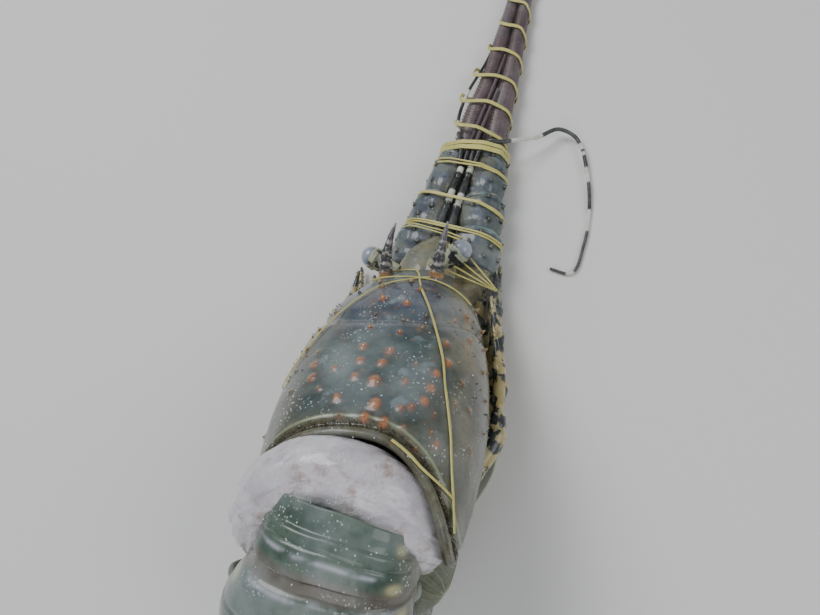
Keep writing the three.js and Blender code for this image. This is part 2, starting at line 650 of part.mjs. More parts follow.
// A closed ring over four-cornered sections
function ringOf(sections) {
  const points = sections.flat().flatMap((p) => p.toArray());
  const count = sections.length;
  const faces = [];
  for (let i = 0; i < count; i += 1) {
    const next = (i + 1) % count;
    for (let k = 0; k < 4; k += 1) {
      const [a, b] = [i * 4 + k, i * 4 + ((k + 1) % 4)];
      const [c, d] = [next * 4 + ((k + 1) % 4), next * 4 + k];
      faces.push(a, b, c, a, c, d);
    }
  }
  return solid(points, faces);
}

// The round sections that a crosswise cut meets: both whips, and any thread that lies along them
const threadLines = ['left_outer', 'left_inner', 'right_inner'].map((name) => {
  return new THREE.CatmullRomCurve3(WHIP_PATHS[name], false, 'centripetal').getSpacedPoints(40);
});
function sectionsAt(y) {
  const whips = ['left', 'right'].map((side) => ({ centre: whipPoint(side, y), radius: whipRadius(y - 3) }));
  const threads = threadLines.flatMap((line) => {
    const near = line.filter((point) => Math.abs(point.y - y) < 4);
    return near.map((point) => ({ centre: point.clone().setY(y), radius: THREAD.radius }));
  });
  return [...whips, ...threads];
}

// A band wound round both whips in even turns
const WINDING = { from: 187, to: 372, turns: 9, perTurn: 12, tilt: 5, clear: 1.3 };
function windingBody() {
  const total = WINDING.turns * WINDING.perTurn;
  const rings = Array.from({ length: total + 1 }, (_, i) => {
    const turn = ((i + 0.5) / WINDING.perTurn) * 2 * Math.PI;
    const y = lerp(WINDING.from, WINDING.to, i / total) - WINDING.tilt * Math.cos(turn);
    const out = v3(Math.cos(turn), 0, Math.sin(turn));
    const reach = ({ centre, radius }) => centre.dot(out) + radius;
    const outermost = sectionsAt(y).reduce((best, one) => (reach(one) > reach(best) ? one : best));
    const centre = outermost.centre;
    const radius = outermost.radius + WINDING.clear;
    return [[0, -0.5], [0, 0.5], [1, 0.5], [1, -0.5]].map(([high, edge]) => centre.clone()
      .addScaledVector(out, radius + high * TIE.thickness)
      .add(v3(0, edge * TIE.width, 0)));
  });
  return loft(rings);
}

// One string over the back
function stringBody(line) {
  const steps = line.length - 1;
  const at = (p, high) => carapacePoint(p.x, deg(p.y), -high);
  const rings = line.map((p, i) => {
    const before = at(line[Math.max(i - 1, 0)], 0);
    const after = at(line[Math.min(i + 1, steps)], 0);
    const ahead = after.sub(before).normalize();
    const base = at(p, STRING.clear);
    const out = at(p, STRING.clear + 1).sub(base).normalize();
    const side = v3().crossVectors(ahead, out).normalize();
    return [[0, -0.5], [0, 0.5], [1, 0.5], [1, -0.5]].map(([high, edge]) => base.clone()
      .addScaledVector(out, high * STRING.thickness)
      .addScaledVector(side, edge * STRING.width)
      .applyMatrix4(bodyMatrix));
  });
  return loft(rings);
}

// Assembly, from the body outwards: each new body gives way to those before it
const SIDES = [['left', -1], ['right', 1]];
place('thorax', 'sternum', sternum, COLOUR.leg, fromBody(0, STERNUM.rear, -60));
place('thorax', 'carapace', carapace, COLOUR.shell, fromBody(0, 0, 0));
for (const [side] of SIDES) {
  place('head', `horn_${side}`, horns[side].body, COLOUR.horn, horns[side].root);
  place('head', `eye_${side}`, eyeBody(side), COLOUR.eye, EYE[side], 0.2);
}
const bundle = [];
for (const [side] of SIDES) {
  for (const { name } of JOINTS) {
    const joint = antennaJoints[`${side}_${name}`];
    bundle.push(place('antennae', `antenna_${side}_${name}`, joint.body, COLOUR.antenna, joint.root));
  }
  const near = whip(side, FLAGELLUM.start, FLAGELLUM.middle - GAP / 2, 9);
  const far = whip(side, FLAGELLUM.middle + GAP / 2, FLAGELLUM.end, 12);
  place('antennae', `flagellum_${side}_near`, near, COLOUR.flagellum, whipPoint(side, FLAGELLUM.start));
  place('antennae', `flagellum_${side}_far`, far, COLOUR.flagellum, whipPoint(side, FLAGELLUM.middle));
}
place('head', 'head_front', headBlock, COLOUR.shellPale, v3(0, HEAD.rear, 10));
for (const [side] of SIDES) {
  const stem = thread(STEM_PATHS[side], STEM.radius, STEM.steps, STEM.tip);
  bundle.push(place('antennules', `antennule_${side}_stem`, stem, COLOUR.antennule, STEM_PATHS[side][0]));
}
for (const name of Object.keys(WHIP_PATHS)) {
  const body = threadBody(name);
  bundle.push(place('antennules', `antennule_${name}`, body, COLOUR.antennule, WHIP_PATHS[name][0]));
}
place('head', 'mouth_limbs', mouthBody(), COLOUR.leg, v3(0, 56, 8));
for (const [side, away] of SIDES) {
  LEGS.forEach((leg, i) => {
    const { body, root } = legBody(leg, away);
    place('legs', `leg_${side}_${i + 1}`, body, COLOUR.leg, root);
  });
}

tailSegments.forEach((body, i) => {
  place('tail', `tail_ring_${i + 1}`, body, COLOUR.tail, tailPoint(0, tailAngles[i], 0));
});
place('tail', 'neck_roll', roll, COLOUR.membrane, ROLL_LINE[5], 0.3);
place('tail', 'telson', fanPlate(0, 0, 26, -0.4, FAN.length), COLOUR.fan, v3(0, FAN.rootY, 1));
for (const [side, away] of SIDES) {
  const inner = fanPlate(9 * away, 24 * away, 20, 1.9, FAN.length * 0.92);
  const outer = fanPlate(14 * away, 36 * away, 20, -0.4, FAN.length * 0.84);
  place('tail', `fan_inner_${side}`, inner, COLOUR.fan, v3(9 * away, FAN.rootY, 1));
  place('tail', `fan_outer_${side}`, outer, COLOUR.fan, v3(14 * away, FAN.rootY, 1));
}
const LEAVES = [
  { at: 128, out: 19, lean: v3(13, -6, -20), width: 28, turn: v3(0.75, -0.2, 0.6) },
  { at: 160, out: 14, lean: v3(7, 14, -8), width: 14, turn: v3(0.8, -0.3, 1) },
  { at: 195, out: 13, lean: v3(6, 16, 1), width: 13, turn: v3(0.8, -0.3, 1) },
];
for (const [side, away] of SIDES) {
  LEAVES.forEach((one, i) => {
    const mirror = (p) => v3(p.x * away, p.y, p.z);
    const from = tailPoint(one.out * away, one.at, thicknessAt(one.at) - 1);
    const body = leaf(from, from.clone().add(mirror(one.lean)), one.width, mirror(one.turn));
    place('tail', `leaf_${side}_${i + 1}`, body, COLOUR.leaf, from);
  });
}

const BANDS = [
  { name: 'tip', left: v3(1, 180.5, 14), right: v3(43, 174.5, 14), width: 5.5 },
  { name: 'third', left: v3(1, 171, 14), right: v3(43, 158.5, 14), width: 2.6 },
  { name: 'second', left: v3(-7, 150, 16), right: v3(43, 134, 16), width: 2 },
  { name: 'first', left: v3(-14, 132, 18), right: v3(42, 116.5, 18), width: 2.6 },
];
for (const band of BANDS) {
  const body = bandRound(bundle.slice(0, -1), band.left, band.right, band.width);
  place('ties', `tie_band_${band.name}`, body, COLOUR.tie, band.left);
}
place('ties', 'tie_winding', windingBody(), COLOUR.tie, whipPoint('left', WINDING.from));
place('ties', 'tie_back', joined(...stringLines.map(stringBody)), COLOUR.tie, fromBody(0, 100, -5));

const root = new THREE.Group();
root.add(lobster);
export default root;
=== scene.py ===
import math

import bmesh
import bpy
import numpy as np
from mathutils import Matrix, Vector


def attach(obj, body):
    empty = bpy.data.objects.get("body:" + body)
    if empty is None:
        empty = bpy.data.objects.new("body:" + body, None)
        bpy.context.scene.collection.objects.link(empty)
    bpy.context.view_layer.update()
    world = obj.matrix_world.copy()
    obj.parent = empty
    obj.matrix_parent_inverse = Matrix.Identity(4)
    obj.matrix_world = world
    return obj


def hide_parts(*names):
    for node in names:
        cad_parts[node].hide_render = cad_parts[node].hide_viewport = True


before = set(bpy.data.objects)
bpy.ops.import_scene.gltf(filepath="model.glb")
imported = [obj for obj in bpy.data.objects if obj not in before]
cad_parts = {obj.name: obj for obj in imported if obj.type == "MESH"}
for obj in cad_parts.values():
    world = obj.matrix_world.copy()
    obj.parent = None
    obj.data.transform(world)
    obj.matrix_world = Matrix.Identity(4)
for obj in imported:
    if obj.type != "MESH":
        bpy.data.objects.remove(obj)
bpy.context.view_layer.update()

scene = bpy.context.scene

# Table, light and camera
# The table is a plain pale sheet. Three wide soft lamps stand round it, as in a museum's
# photo room. The camera looks down the back of the animal from above its tail.
MM = 0.001
CAMERA_AT = np.array([77.8, -41.9, 321.8]) * MM
LOOK = np.array([-0.2444, 0.3673, -0.8974])
RIGHT = np.array([0.9697, 0.0987, -0.2237])
DOWN = np.array([0.0064, -0.9249, -0.3803])


def plain_material(name, colour, roughness):
    material = bpy.data.materials.new(name)
    material.use_nodes = True
    shader = material.node_tree.nodes["Principled BSDF"]
    shader.inputs["Base Color"].default_value = (*colour, 1)
    shader.inputs["Roughness"].default_value = roughness
    return material


table_mesh = bpy.data.meshes.new("table_top")
table_mesh.from_pydata([(-3, -3, 0), (3, -3, 0), (3, 3, 0), (-3, 3, 0)], [], [(0, 1, 2, 3)])
table_top = bpy.data.objects.new("table_top", table_mesh)
scene.collection.objects.link(table_top)
table_mesh.materials.append(plain_material("pale_table", (0.88, 0.87, 0.85), 0.7))

LAMPS = [
    ("window_lamp", (-0.55, 0.55, 1.15), 0.7, 9.5),
    ("side_lamp", (0.95, -0.1, 0.9), 0.7, 3.6),
    ("rear_lamp", (-0.1, -0.95, 0.85), 0.8, 3.2),
]
for lamp_name, place, size, power in LAMPS:
    lamp = bpy.data.lights.new(lamp_name, "AREA")
    lamp.energy = power
    lamp.size = size
    lamp_object = bpy.data.objects.new(lamp_name, lamp)
    scene.collection.objects.link(lamp_object)
    lamp_object.location = place
    toward = Vector((0, 0.12, 0.05)) - Vector(place)
    lamp_object.rotation_euler = toward.to_track_quat("-Z", "Y").to_euler()
scene.world = bpy.data.worlds.new("studio_air")
scene.world.use_nodes = True
scene.world.node_tree.nodes["Background"].inputs["Color"].default_value = (0.85, 0.9, 1.0, 1)
scene.world.node_tree.nodes["Background"].inputs["Strength"].default_value = 0.26

camera = bpy.data.cameras.new("camera")
camera.lens = 28.76
camera.sensor_width = 36
camera.clip_start = 0.01
camera_object = bpy.data.objects.new("camera", camera)
scene.collection.objects.link(camera_object)
turn = Matrix((RIGHT, -DOWN, -LOOK)).transposed().to_4x4()
camera_object.matrix_world = Matrix.Translation(CAMERA_AT) @ turn
scene.camera = camera_object

# Carapace
# One barrel of hard glazed shell with a groove across the neck and a hairy olive groove
# along the rear margin. Orange spines stand on it, small at the rear and tall in front.
HEAD_DOWN = math.radians(29.5)
RIDGE_HEIGHT = 104
FRONT = 118


def from_body(points):
    """Points of the body frame, y to the head and z to the back, as points of the room."""
    p = np.asarray(points, float).reshape(-1, 3)
    cos, sin = math.cos(HEAD_DOWN), math.sin(HEAD_DOWN)
    y = p[:, 1] * cos + p[:, 2] * sin
    z = p[:, 2] * cos - p[:, 1] * sin + RIDGE_HEIGHT
    return np.stack([p[:, 0], y, z], 1)


def size_along(stations, values):
    """A smooth size through the values at the stations."""
    s, v = np.array(stations, float), np.array(values, float)
    slope = np.gradient(v, s)

    def at(x):
        x = np.clip(x, s[0], s[-1])
        i = np.clip(np.searchsorted(s, x) - 1, 0, len(s) - 2)
        h = s[i + 1] - s[i]
        u = (x - s[i]) / h
        return ((2 * u**3 - 3 * u**2 + 1) * v[i] + (u**3 - 2 * u**2 + u) * h * slope[i]
                + (3 * u**2 - 2 * u**3) * v[i + 1] + (u**3 - u**2) * h * slope[i + 1])
    return at


def rounded(value, power):
    return np.sign(value) * np.abs(value) ** power


def waves(a, b, seed, octaves=4):
    """Soft uneven swell over two coordinates, between about -1 and 1."""
    draw = np.random.default_rng(seed)
    total = np.zeros(np.broadcast(a, b).shape)
    for octave in range(octaves):
        for _ in range(3):
            turn, phase = draw.uniform(0, 2 * math.pi, 2)
            pitch = 1.9**octave
            total += np.sin(pitch * (a * math.cos(turn) + b * math.sin(turn)) + phase) / 1.7**octave
    return total / 4


def skin(name, rings, marks=(), caps=True):
    """A closed skin over rings of points in millimetres, with a mark at each point."""
    rings = np.asarray(rings, float)
    rows, count = rings.shape[:2]
    points = rings.reshape(-1, 3)
    if caps:
        points = np.vstack([points, rings[0].mean(0), rings[-1].mean(0)])
    near = np.arange((rows - 1) * count).reshape(rows - 1, count)
    beside = np.roll(near, -1, 1)
    faces = np.stack([near, beside, beside + count, near + count], -1).reshape(-1, 4).tolist()
    if caps:
        top, first, last = rows * count, np.arange(count), np.arange(count) + (rows - 1) * count
        faces += np.stack([np.roll(first, -1), first, np.full(count, top)], -1).tolist()
        faces += np.stack([last, np.roll(last, -1), np.full(count, top + 1)], -1).tolist()
    mesh = bpy.data.meshes.new(name)
    mesh.from_pydata((points * MM).tolist(), [], faces)
    for mark, values in dict(marks).items():
        values = np.broadcast_to(values, (rows, count)).reshape(-1)
        if caps:
            values = np.append(values, [values[:count].mean(), values[-count:].mean()])
        layer = mesh.attributes.new(mark, "FLOAT", "POINT")
        layer.data.foreach_set("value", values.astype(np.float32))
    tidy = bmesh.new()
    tidy.from_mesh(mesh)
    bmesh.ops.recalc_face_normals(tidy, faces=tidy.faces)
    tidy.to_mesh(mesh)
    tidy.free()
    mesh.polygons.foreach_set("use_smooth", [True] * len(mesh.polygons))
    piece = bpy.data.objects.new(name, mesh)
    scene.collection.objects.link(piece)
    return piece


def fit(piece, material, slot, *nodes):
    """Gives the piece its finish and its body, and hides the solids that it stands for."""
    if material:
        piece.data.materials.clear()
        piece.data.materials.append(material)
    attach(piece, "root")
    if nodes:
        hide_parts(*nodes)
    return piece


BODY_Y = [-25, 0, 25, 50, 75, 100, 118]
half_width = size_along(BODY_Y, [38, 42, 44, 43, 39, 32, 25])
back_height = size_along(BODY_Y, [-2, 0, 3, 4, 2, -5, -13])
belly_height = size_along(BODY_Y, [-66, -66, -66, -64, -60, -56, -52])


def rear_margin(angle):
    down = np.abs(np.cos(angle))
    belly = np.where(np.sin(angle) < 0, 0.8 * np.sin(angle) ** 2, 0)
    lobe = np.where(np.cos(angle) > 0, 25, 15)
    return -lobe * down**2.2 * (1 - belly)


def neck_groove(y, angle):
    line = 60 + 16 * np.cos(angle) ** 2
    return 1.8 * np.exp(-(((y - line) / 4) ** 2))


def on_barrel(y, angle, inset=0):
    """A point of the carapace in the body frame, at y along it and an angle round it."""
    width = half_width(y) - inset
    top, bottom = back_height(y), belly_height(y)
    middle, half = (top + bottom) / 2, (top - bottom) / 2 - inset
    return np.stack(np.broadcast_arrays(
        width * rounded(np.cos(angle), 0.86), y, middle + half * rounded(np.sin(angle), 0.86)), -1)


# Centre of the camera's picture, which is 820 pixels wide and 615 high, and its focal length
PICTURE_CENTRE = np.array([410, 307.5])
FOCAL_PIXELS = 655


def seen_place(points):
    """The pixels at which the camera sees points given in millimetres."""
    away = points - CAMERA_AT / MM
    depth = (away @ LOOK)[..., None]
    return PICTURE_CENTRE + FOCAL_PIXELS * np.stack([away @ RIGHT, away @ DOWN], -1) / depth


def barrel_pixels(places):
    """The pixels of places on the carapace, each a y along the body and an angle in degrees."""
    y, turn = places[..., 0], np.radians(places[..., 1])
    room = from_body(on_barrel(y, turn)).reshape(*y.shape, 3)
    return seen_place(room)


def barrel_place(pixel):
    """The place on the carapace that the camera sees at a pixel, in steps of 0.1 mm and 1 degree."""
    coarse = np.stack(np.meshgrid(np.arange(0, 115, 2.0), np.arange(20, 165, 2.0), indexing="ij"), -1)
    miss = np.linalg.norm(barrel_pixels(coarse) - pixel, axis=-1)
    place = coarse[np.unravel_index(miss.argmin(), miss.shape)]
    for _ in range(12):
        now = barrel_pixels(place)
        nudges = [barrel_pixels(place + nudge) - now for nudge in np.eye(2) * 0.01]
        place = place + np.linalg.solve(np.transpose(nudges) / 0.01, pixel - now)
    return round(float(place[0]), 1), round(float(place[1]))


# Spines read from the picture: the pixel of each root and its kind
SEEN_SPINES = [
    (383.4, 299.2, "o"), (406.7, 303.7, "o"), (375.2, 313.5, "d"), (403.7, 319.5, "d"),
    (371.4, 327.7, "p"), (399.2, 333, "p"), (363.2, 346.5, "o"), (390.9, 351, "o"),
    (319, 353.2, "f"), (314.5, 365.2, "o"), (361, 360.7, "o"), (382.7, 363, "o"),
    (334.7, 368.2, "r"), (415.7, 364.5, "f"), (447.2, 363, "o"), (312.2, 378, "o"),
    (356.5, 376.5, "o"), (375.2, 381, "B"), (404.5, 381.7, "r"), (436, 374.2, "o"),
    (430.7, 388.5, "o"), (319.7, 388.5, "f"), (337.7, 397.5, "o"), (376, 404.2, "B"),
    (424, 401.2, "o"), (400, 408.7, "r"), (411.2, 407.2, "r"), (454.7, 405, "f"),
    (338.5, 417.7, "f"), (362.5, 421.5, "o"), (434.5, 414.7, "f"), (382, 429, "o"),
    (401.5, 437.2, "f"), (436.7, 445.5, "r"), (412.7, 456, "f"), (427, 315, "d"),
    (421.7, 328.5, "f"), (445.7, 343.5, "y"), (456.2, 319.5, "y"), (462.2, 384, "f"),
    (469, 411, "f"), (430, 432.7, "f"),
]
# Roots near the rear margin that stand this many millimetres further forward than the place
# worked out from the picture
MOVED_FORWARD = {(338.5, 417.7): 1, (362.5, 421.5): 2, (382, 429): 3, (401.5, 437.2): 4, (412.7, 456): 3}
SPOTS = []
for across, down, kind in SEEN_SPINES:
    y, turn = barrel_place(np.array([across, down]))
    SPOTS.append((round(y + MOVED_FORWARD.get((across, down), 0), 1), turn, kind))
# Spines on the sides and in front, from the species: place along the body, angle and kind
SPOTS += [
    (86, 98, "y"), (84, 76, "y"), (81, 62, "d"), (83, 114, "d"), (92, 84, "f"), (93, 104, "f"),
    (76, 36, "y"), (60, 34, "y"), (70, 126, "y"), (58, 130, "f"), (46, 132, "f"), (34, 134, "f"),
    (22, 130, "f"),
    (92, 20, "y"), (80, 12, "y"), (66, 14, "y"), (50, 18, "f"), (38, 12, "f"), (24, 8, "f"), (10, 20, "f"),
    (92, 160, "y"), (80, 166, "y"), (66, 164, "y"), (50, 160, "f"), (38, 166, "f"), (24, 170, "f"),
    (10, 158, "f"),
]
SPOT_SIZE = {"o": 1.75, "B": 2.3, "r": 1.6, "f": 1.3, "p": 1.4, "d": 1.4, "y": 1.6}
SPOT_GLOW = {"o": 1, "B": 1, "r": 0.75, "f": 0.5, "p": 0.6, "d": 0.3, "y": 0.8}

rows_y = np.concatenate([np.linspace(0, 14, 34), np.linspace(14, FRONT, 134)[1:]])
around = np.linspace(0, 2 * math.pi, 232, endpoint=False)
step, angle = np.meshgrid(rows_y, around, indexing="ij")
body_y = rear_margin(angle) + (FRONT - rear_margin(angle)) * step / FRONT
hair_groove = 1.7 * np.exp(-(((step - 4.4) / 1.7) ** 2)) + 0.25 * np.exp(-((step / 0.9) ** 2))
surface = on_barrel(body_y, angle)
spot_mark = np.zeros_like(step)
dark_spot = np.zeros_like(step)
knob = np.zeros_like(step)
for y, turn, kind in SPOTS:
    gap = np.linalg.norm(surface - on_barrel(y, math.radians(turn)), axis=-1)
    long_gap = np.sqrt(gap**2 - 0.35 * np.minimum((surface[..., 1] - y) ** 2, gap**2))
    round_mark = 1 / (1 + np.exp((long_gap - SPOT_SIZE[kind]) / 0.28))
    if kind == "d":
        dark_spot = np.maximum(dark_spot, round_mark)
    else:
        spot_mark = np.maximum(spot_mark, SPOT_GLOW[kind] * round_mark)
    knob = np.maximum(knob, 0.6 * SPOT_SIZE[kind] * np.exp(-((gap / (0.95 * SPOT_SIZE[kind])) ** 2)))
top_side = np.clip(np.sin(angle), 0, 1)
swell = 0.5 * waves(body_y / 9, angle * 4.5, 3) * np.clip((step - 9) / 10, 0, 1)
inset = hair_groove + neck_groove(body_y, angle) - knob - 0.3 * swell
barrel = from_body(on_barrel(body_y, angle, inset)).reshape(*step.shape, 3)
RIM_WALL = 3.5
CUP_DEPTH = 6
rim = from_body(on_barrel(rear_margin(around) + 0.4, around, RIM_WALL))
inside = [
    from_body(on_barrel(rear_margin(around) * (1 - s) + CUP_DEPTH * s, around, RIM_WALL * (1 + s)))
    for s in (0.35, 0.7, 1)]
cup = [inside[2], inside[1], inside[0], rim]
rings = np.concatenate([np.array(cup), barrel])


def with_cup(values, inner):
    return np.vstack([np.full((len(cup), values.shape[1]), inner), values])


carapace = skin("carapace_shell", rings, {
    "edge": with_cup(step, 2.0),
    "spot": with_cup(spot_mark, 0),
    "dark_spot": with_cup(dark_spot, 0),
    "flank": with_cup(np.clip(1.25 * np.abs(np.cos(angle)) ** 1.6 + (np.sin(angle) < 0), 0, 1), 1),
    "front": with_cup(np.clip((body_y - 46) / 24, 0, 1) * np.clip(1.5 * top_side - 0.5, 0, 1), 0),
    "ahead": with_cup(np.clip((body_y - 40) / 30, 0, 1), 0),
})


def link(tree, source, target):
    tree.links.new(source, target)


class Maker:
    """Sets shader or geometry nodes down one by one, with their values."""

    def __init__(self, tree):
        self.tree = tree

    def node(self, kind, values=(), **settings):
        made = self.tree.nodes.new(kind)
        for key, value in settings.items():
            setattr(made, key, value)
        for key, value in dict(values).items():
            if isinstance(value, bpy.types.NodeSocket):
                self.tree.links.new(value, made.inputs[key])
            else:
                made.inputs[key].default_value = value
        return made

    def mark(self, name):
        return self.node("ShaderNodeAttribute", attribute_name=name).outputs["Fac"]

    def ramp(self, factor, stops):
        made = self.node("ShaderNodeValToRGB", {"Fac": factor})
        ramp = made.color_ramp
        while len(ramp.elements) < len(stops):
            ramp.elements.new(0.5)
        for element, (place, colour) in zip(ramp.elements, stops):
            element.position = place
            element.color = (*colour, 1) if len(colour) == 3 else colour
        return made.outputs["Color"]

    def blend(self, factor, first, second, mode="MIX"):
        made = self.tree.nodes.new("ShaderNodeMix")
        made.data_type = "RGBA"
        made.blend_type = mode
        for socket, value in ((made.inputs[0], factor), (made.inputs[6], first), (made.inputs[7], second)):
            if isinstance(value, bpy.types.NodeSocket):
                self.tree.links.new(value, socket)
            else:
                socket.default_value = (*value, 1) if isinstance(value, tuple) and len(value) == 3 else value
        return made.outputs[2]

    def maths(self, operation, first, second=0.0, clamp=False):
        made = self.tree.nodes.new("ShaderNodeMath")
        made.operation = operation
        made.use_clamp = clamp
        for socket, value in ((made.inputs[0], first), (made.inputs[1], second)):
            if isinstance(value, bpy.types.NodeSocket):
                self.tree.links.new(value, socket)
            else:
                socket.default_value = value
        return made.outputs[0]

    def between(self, value, low, high):
        made = self.node("ShaderNodeMapRange", {"Value": value, "From Min": low, "From Max": high})
        made.clamp = True
        return made.outputs["Result"]

    def noise(self, vector, scale, detail=4.0, rough=0.55):
        values = {"Vector": vector, "Scale": scale, "Detail": detail, "Roughness": rough}
        made = self.node("ShaderNodeTexNoise", values)
        return made.outputs["Fac"]


def group_tree(name, inputs, outputs, kind="ShaderNodeTree"):
    tree = bpy.data.node_groups.new(name, kind)
    for label, socket, default in inputs:
        made = tree.interface.new_socket(label, in_out="INPUT", socket_type=socket)
        if default is not None:
            made.default_value = default
    for label, socket in outputs:
        tree.interface.new_socket(label, in_out="OUTPUT", socket_type=socket)
    return tree, tree.nodes.new("NodeGroupInput"), tree.nodes.new("NodeGroupOutput")


# Thawing glaze: clouded film, white ice crumbs and the height of both
FLOAT, COLOUR_SOCKET = "NodeSocketFloat", "NodeSocketColor"
glaze, given, put = group_tree(
    "ice_glaze",
    [("Colour", COLOUR_SOCKET, None), ("Film", FLOAT, 0.3), ("Crumbs", FLOAT, 0.5), ("Grain", FLOAT, 1.0)],
    [("Colour", COLOUR_SOCKET), ("Roughness", FLOAT), ("Height", FLOAT)])
g = Maker(glaze)
place = g.node("ShaderNodeTexCoord").outputs["Object"]
cloud = g.between(g.noise(place, 38, 3), 0.42, 0.72)
film = g.maths("MULTIPLY", cloud, given.outputs["Film"])
fine = g.node("ShaderNodeTexVoronoi", {"Vector": place, "Scale": 620.0, "Randomness": 1.0})
speck = g.between(fine.outputs["Distance"], 0.3, 0.12)
patch = g.between(g.noise(place, 70, 2), 0.5, 0.68)
crumbs = g.maths("MULTIPLY", g.maths("MULTIPLY", speck, patch), given.outputs["Crumbs"])
filmed = g.blend(film, given.outputs["Colour"], (0.50, 0.57, 0.58))
link(glaze, g.blend(crumbs, filmed, (0.86, 0.89, 0.9)), put.inputs["Colour"])
grain = g.maths("MULTIPLY", g.noise(place, 900, 3), given.outputs["Grain"])
link(glaze, g.maths("ADD", grain, g.maths("MULTIPLY", crumbs, 2.5)), put.inputs["Height"])
rough = g.maths("ADD", g.maths("MULTIPLY", film, 0.35), g.maths("MULTIPLY", crumbs, 0.4))
link(glaze, g.maths("ADD", rough, g.between(g.noise(place, 260, 2), -1.2, 3.2)), put.inputs["Roughness"])

# Uneven pigment: two colours in clouds, with darker pores
mottle, given, put = group_tree(
    "pigment",
    [("First", COLOUR_SOCKET, None), ("Second", COLOUR_SOCKET, None), ("Dark", COLOUR_SOCKET, None),
     ("Scale", FLOAT, 60.0), ("Pores", FLOAT, 0.4)],
    [("Colour", COLOUR_SOCKET), ("Mask", FLOAT)])
g = Maker(mottle)
place = g.node("ShaderNodeTexCoord").outputs["Object"]
wide = g.between(g.noise(place, given.outputs["Scale"], 5, 0.6), 0.38, 0.64)
small = g.between(g.noise(place, 420, 3, 0.6), 0.52, 0.7)
base = g.blend(wide, given.outputs["First"], given.outputs["Second"])
pores = g.maths("MULTIPLY", small, given.outputs["Pores"])
link(mottle, g.blend(pores, base, given.outputs["Dark"]), put.inputs["Colour"])
link(mottle, wide, put.inputs["Mask"])


def wet_finish(name, colour_of, film=0.25, crumbs=0.6, grain=0.6, bump=0.25, coat=0.6, flesh=0.0):
    """A wet glazed finish over the colour that colour_of sets down."""
    material = bpy.data.materials.new(name)
    material.use_nodes = True
    tree = material.node_tree
    m = Maker(tree)
    shader = tree.nodes["Principled BSDF"]
    colour = colour_of(m)
    over = m.node("ShaderNodeGroup", node_tree=glaze)
    link(tree, colour, over.inputs["Colour"])
    for label, value in (("Film", film), ("Crumbs", crumbs), ("Grain", grain)):
        over.inputs[label].default_value = value
    link(tree, over.outputs["Colour"], shader.inputs["Base Color"])
    link(tree, over.outputs["Roughness"], shader.inputs["Roughness"])
    height = {"Height": over.outputs["Height"], "Strength": bump, "Distance": 0.0004}
    relief = m.node("ShaderNodeBump", height)
    link(tree, relief.outputs["Normal"], shader.inputs["Normal"])
    shader.inputs["Coat Weight"].default_value = coat
    shader.inputs["Coat Roughness"].default_value = 0.12
    shader.inputs["Subsurface Weight"].default_value = flesh
    shader.inputs["Subsurface Radius"].default_value = (0.004, 0.002, 0.0015)
    return material


def pigment(m, first, second, dark, scale=60.0, pores=0.4):
    made = m.node("ShaderNodeGroup", node_tree=mottle)
    for label, value in (("First", first), ("Second", second), ("Dark", dark)):
        if isinstance(value, bpy.types.NodeSocket):
            link(m.tree, value, made.inputs[label])
        else:
            made.inputs[label].default_value = (*value, 1)
    made.inputs["Scale"].default_value = scale
    made.inputs["Pores"].default_value = pores
    return made.outputs["Colour"]


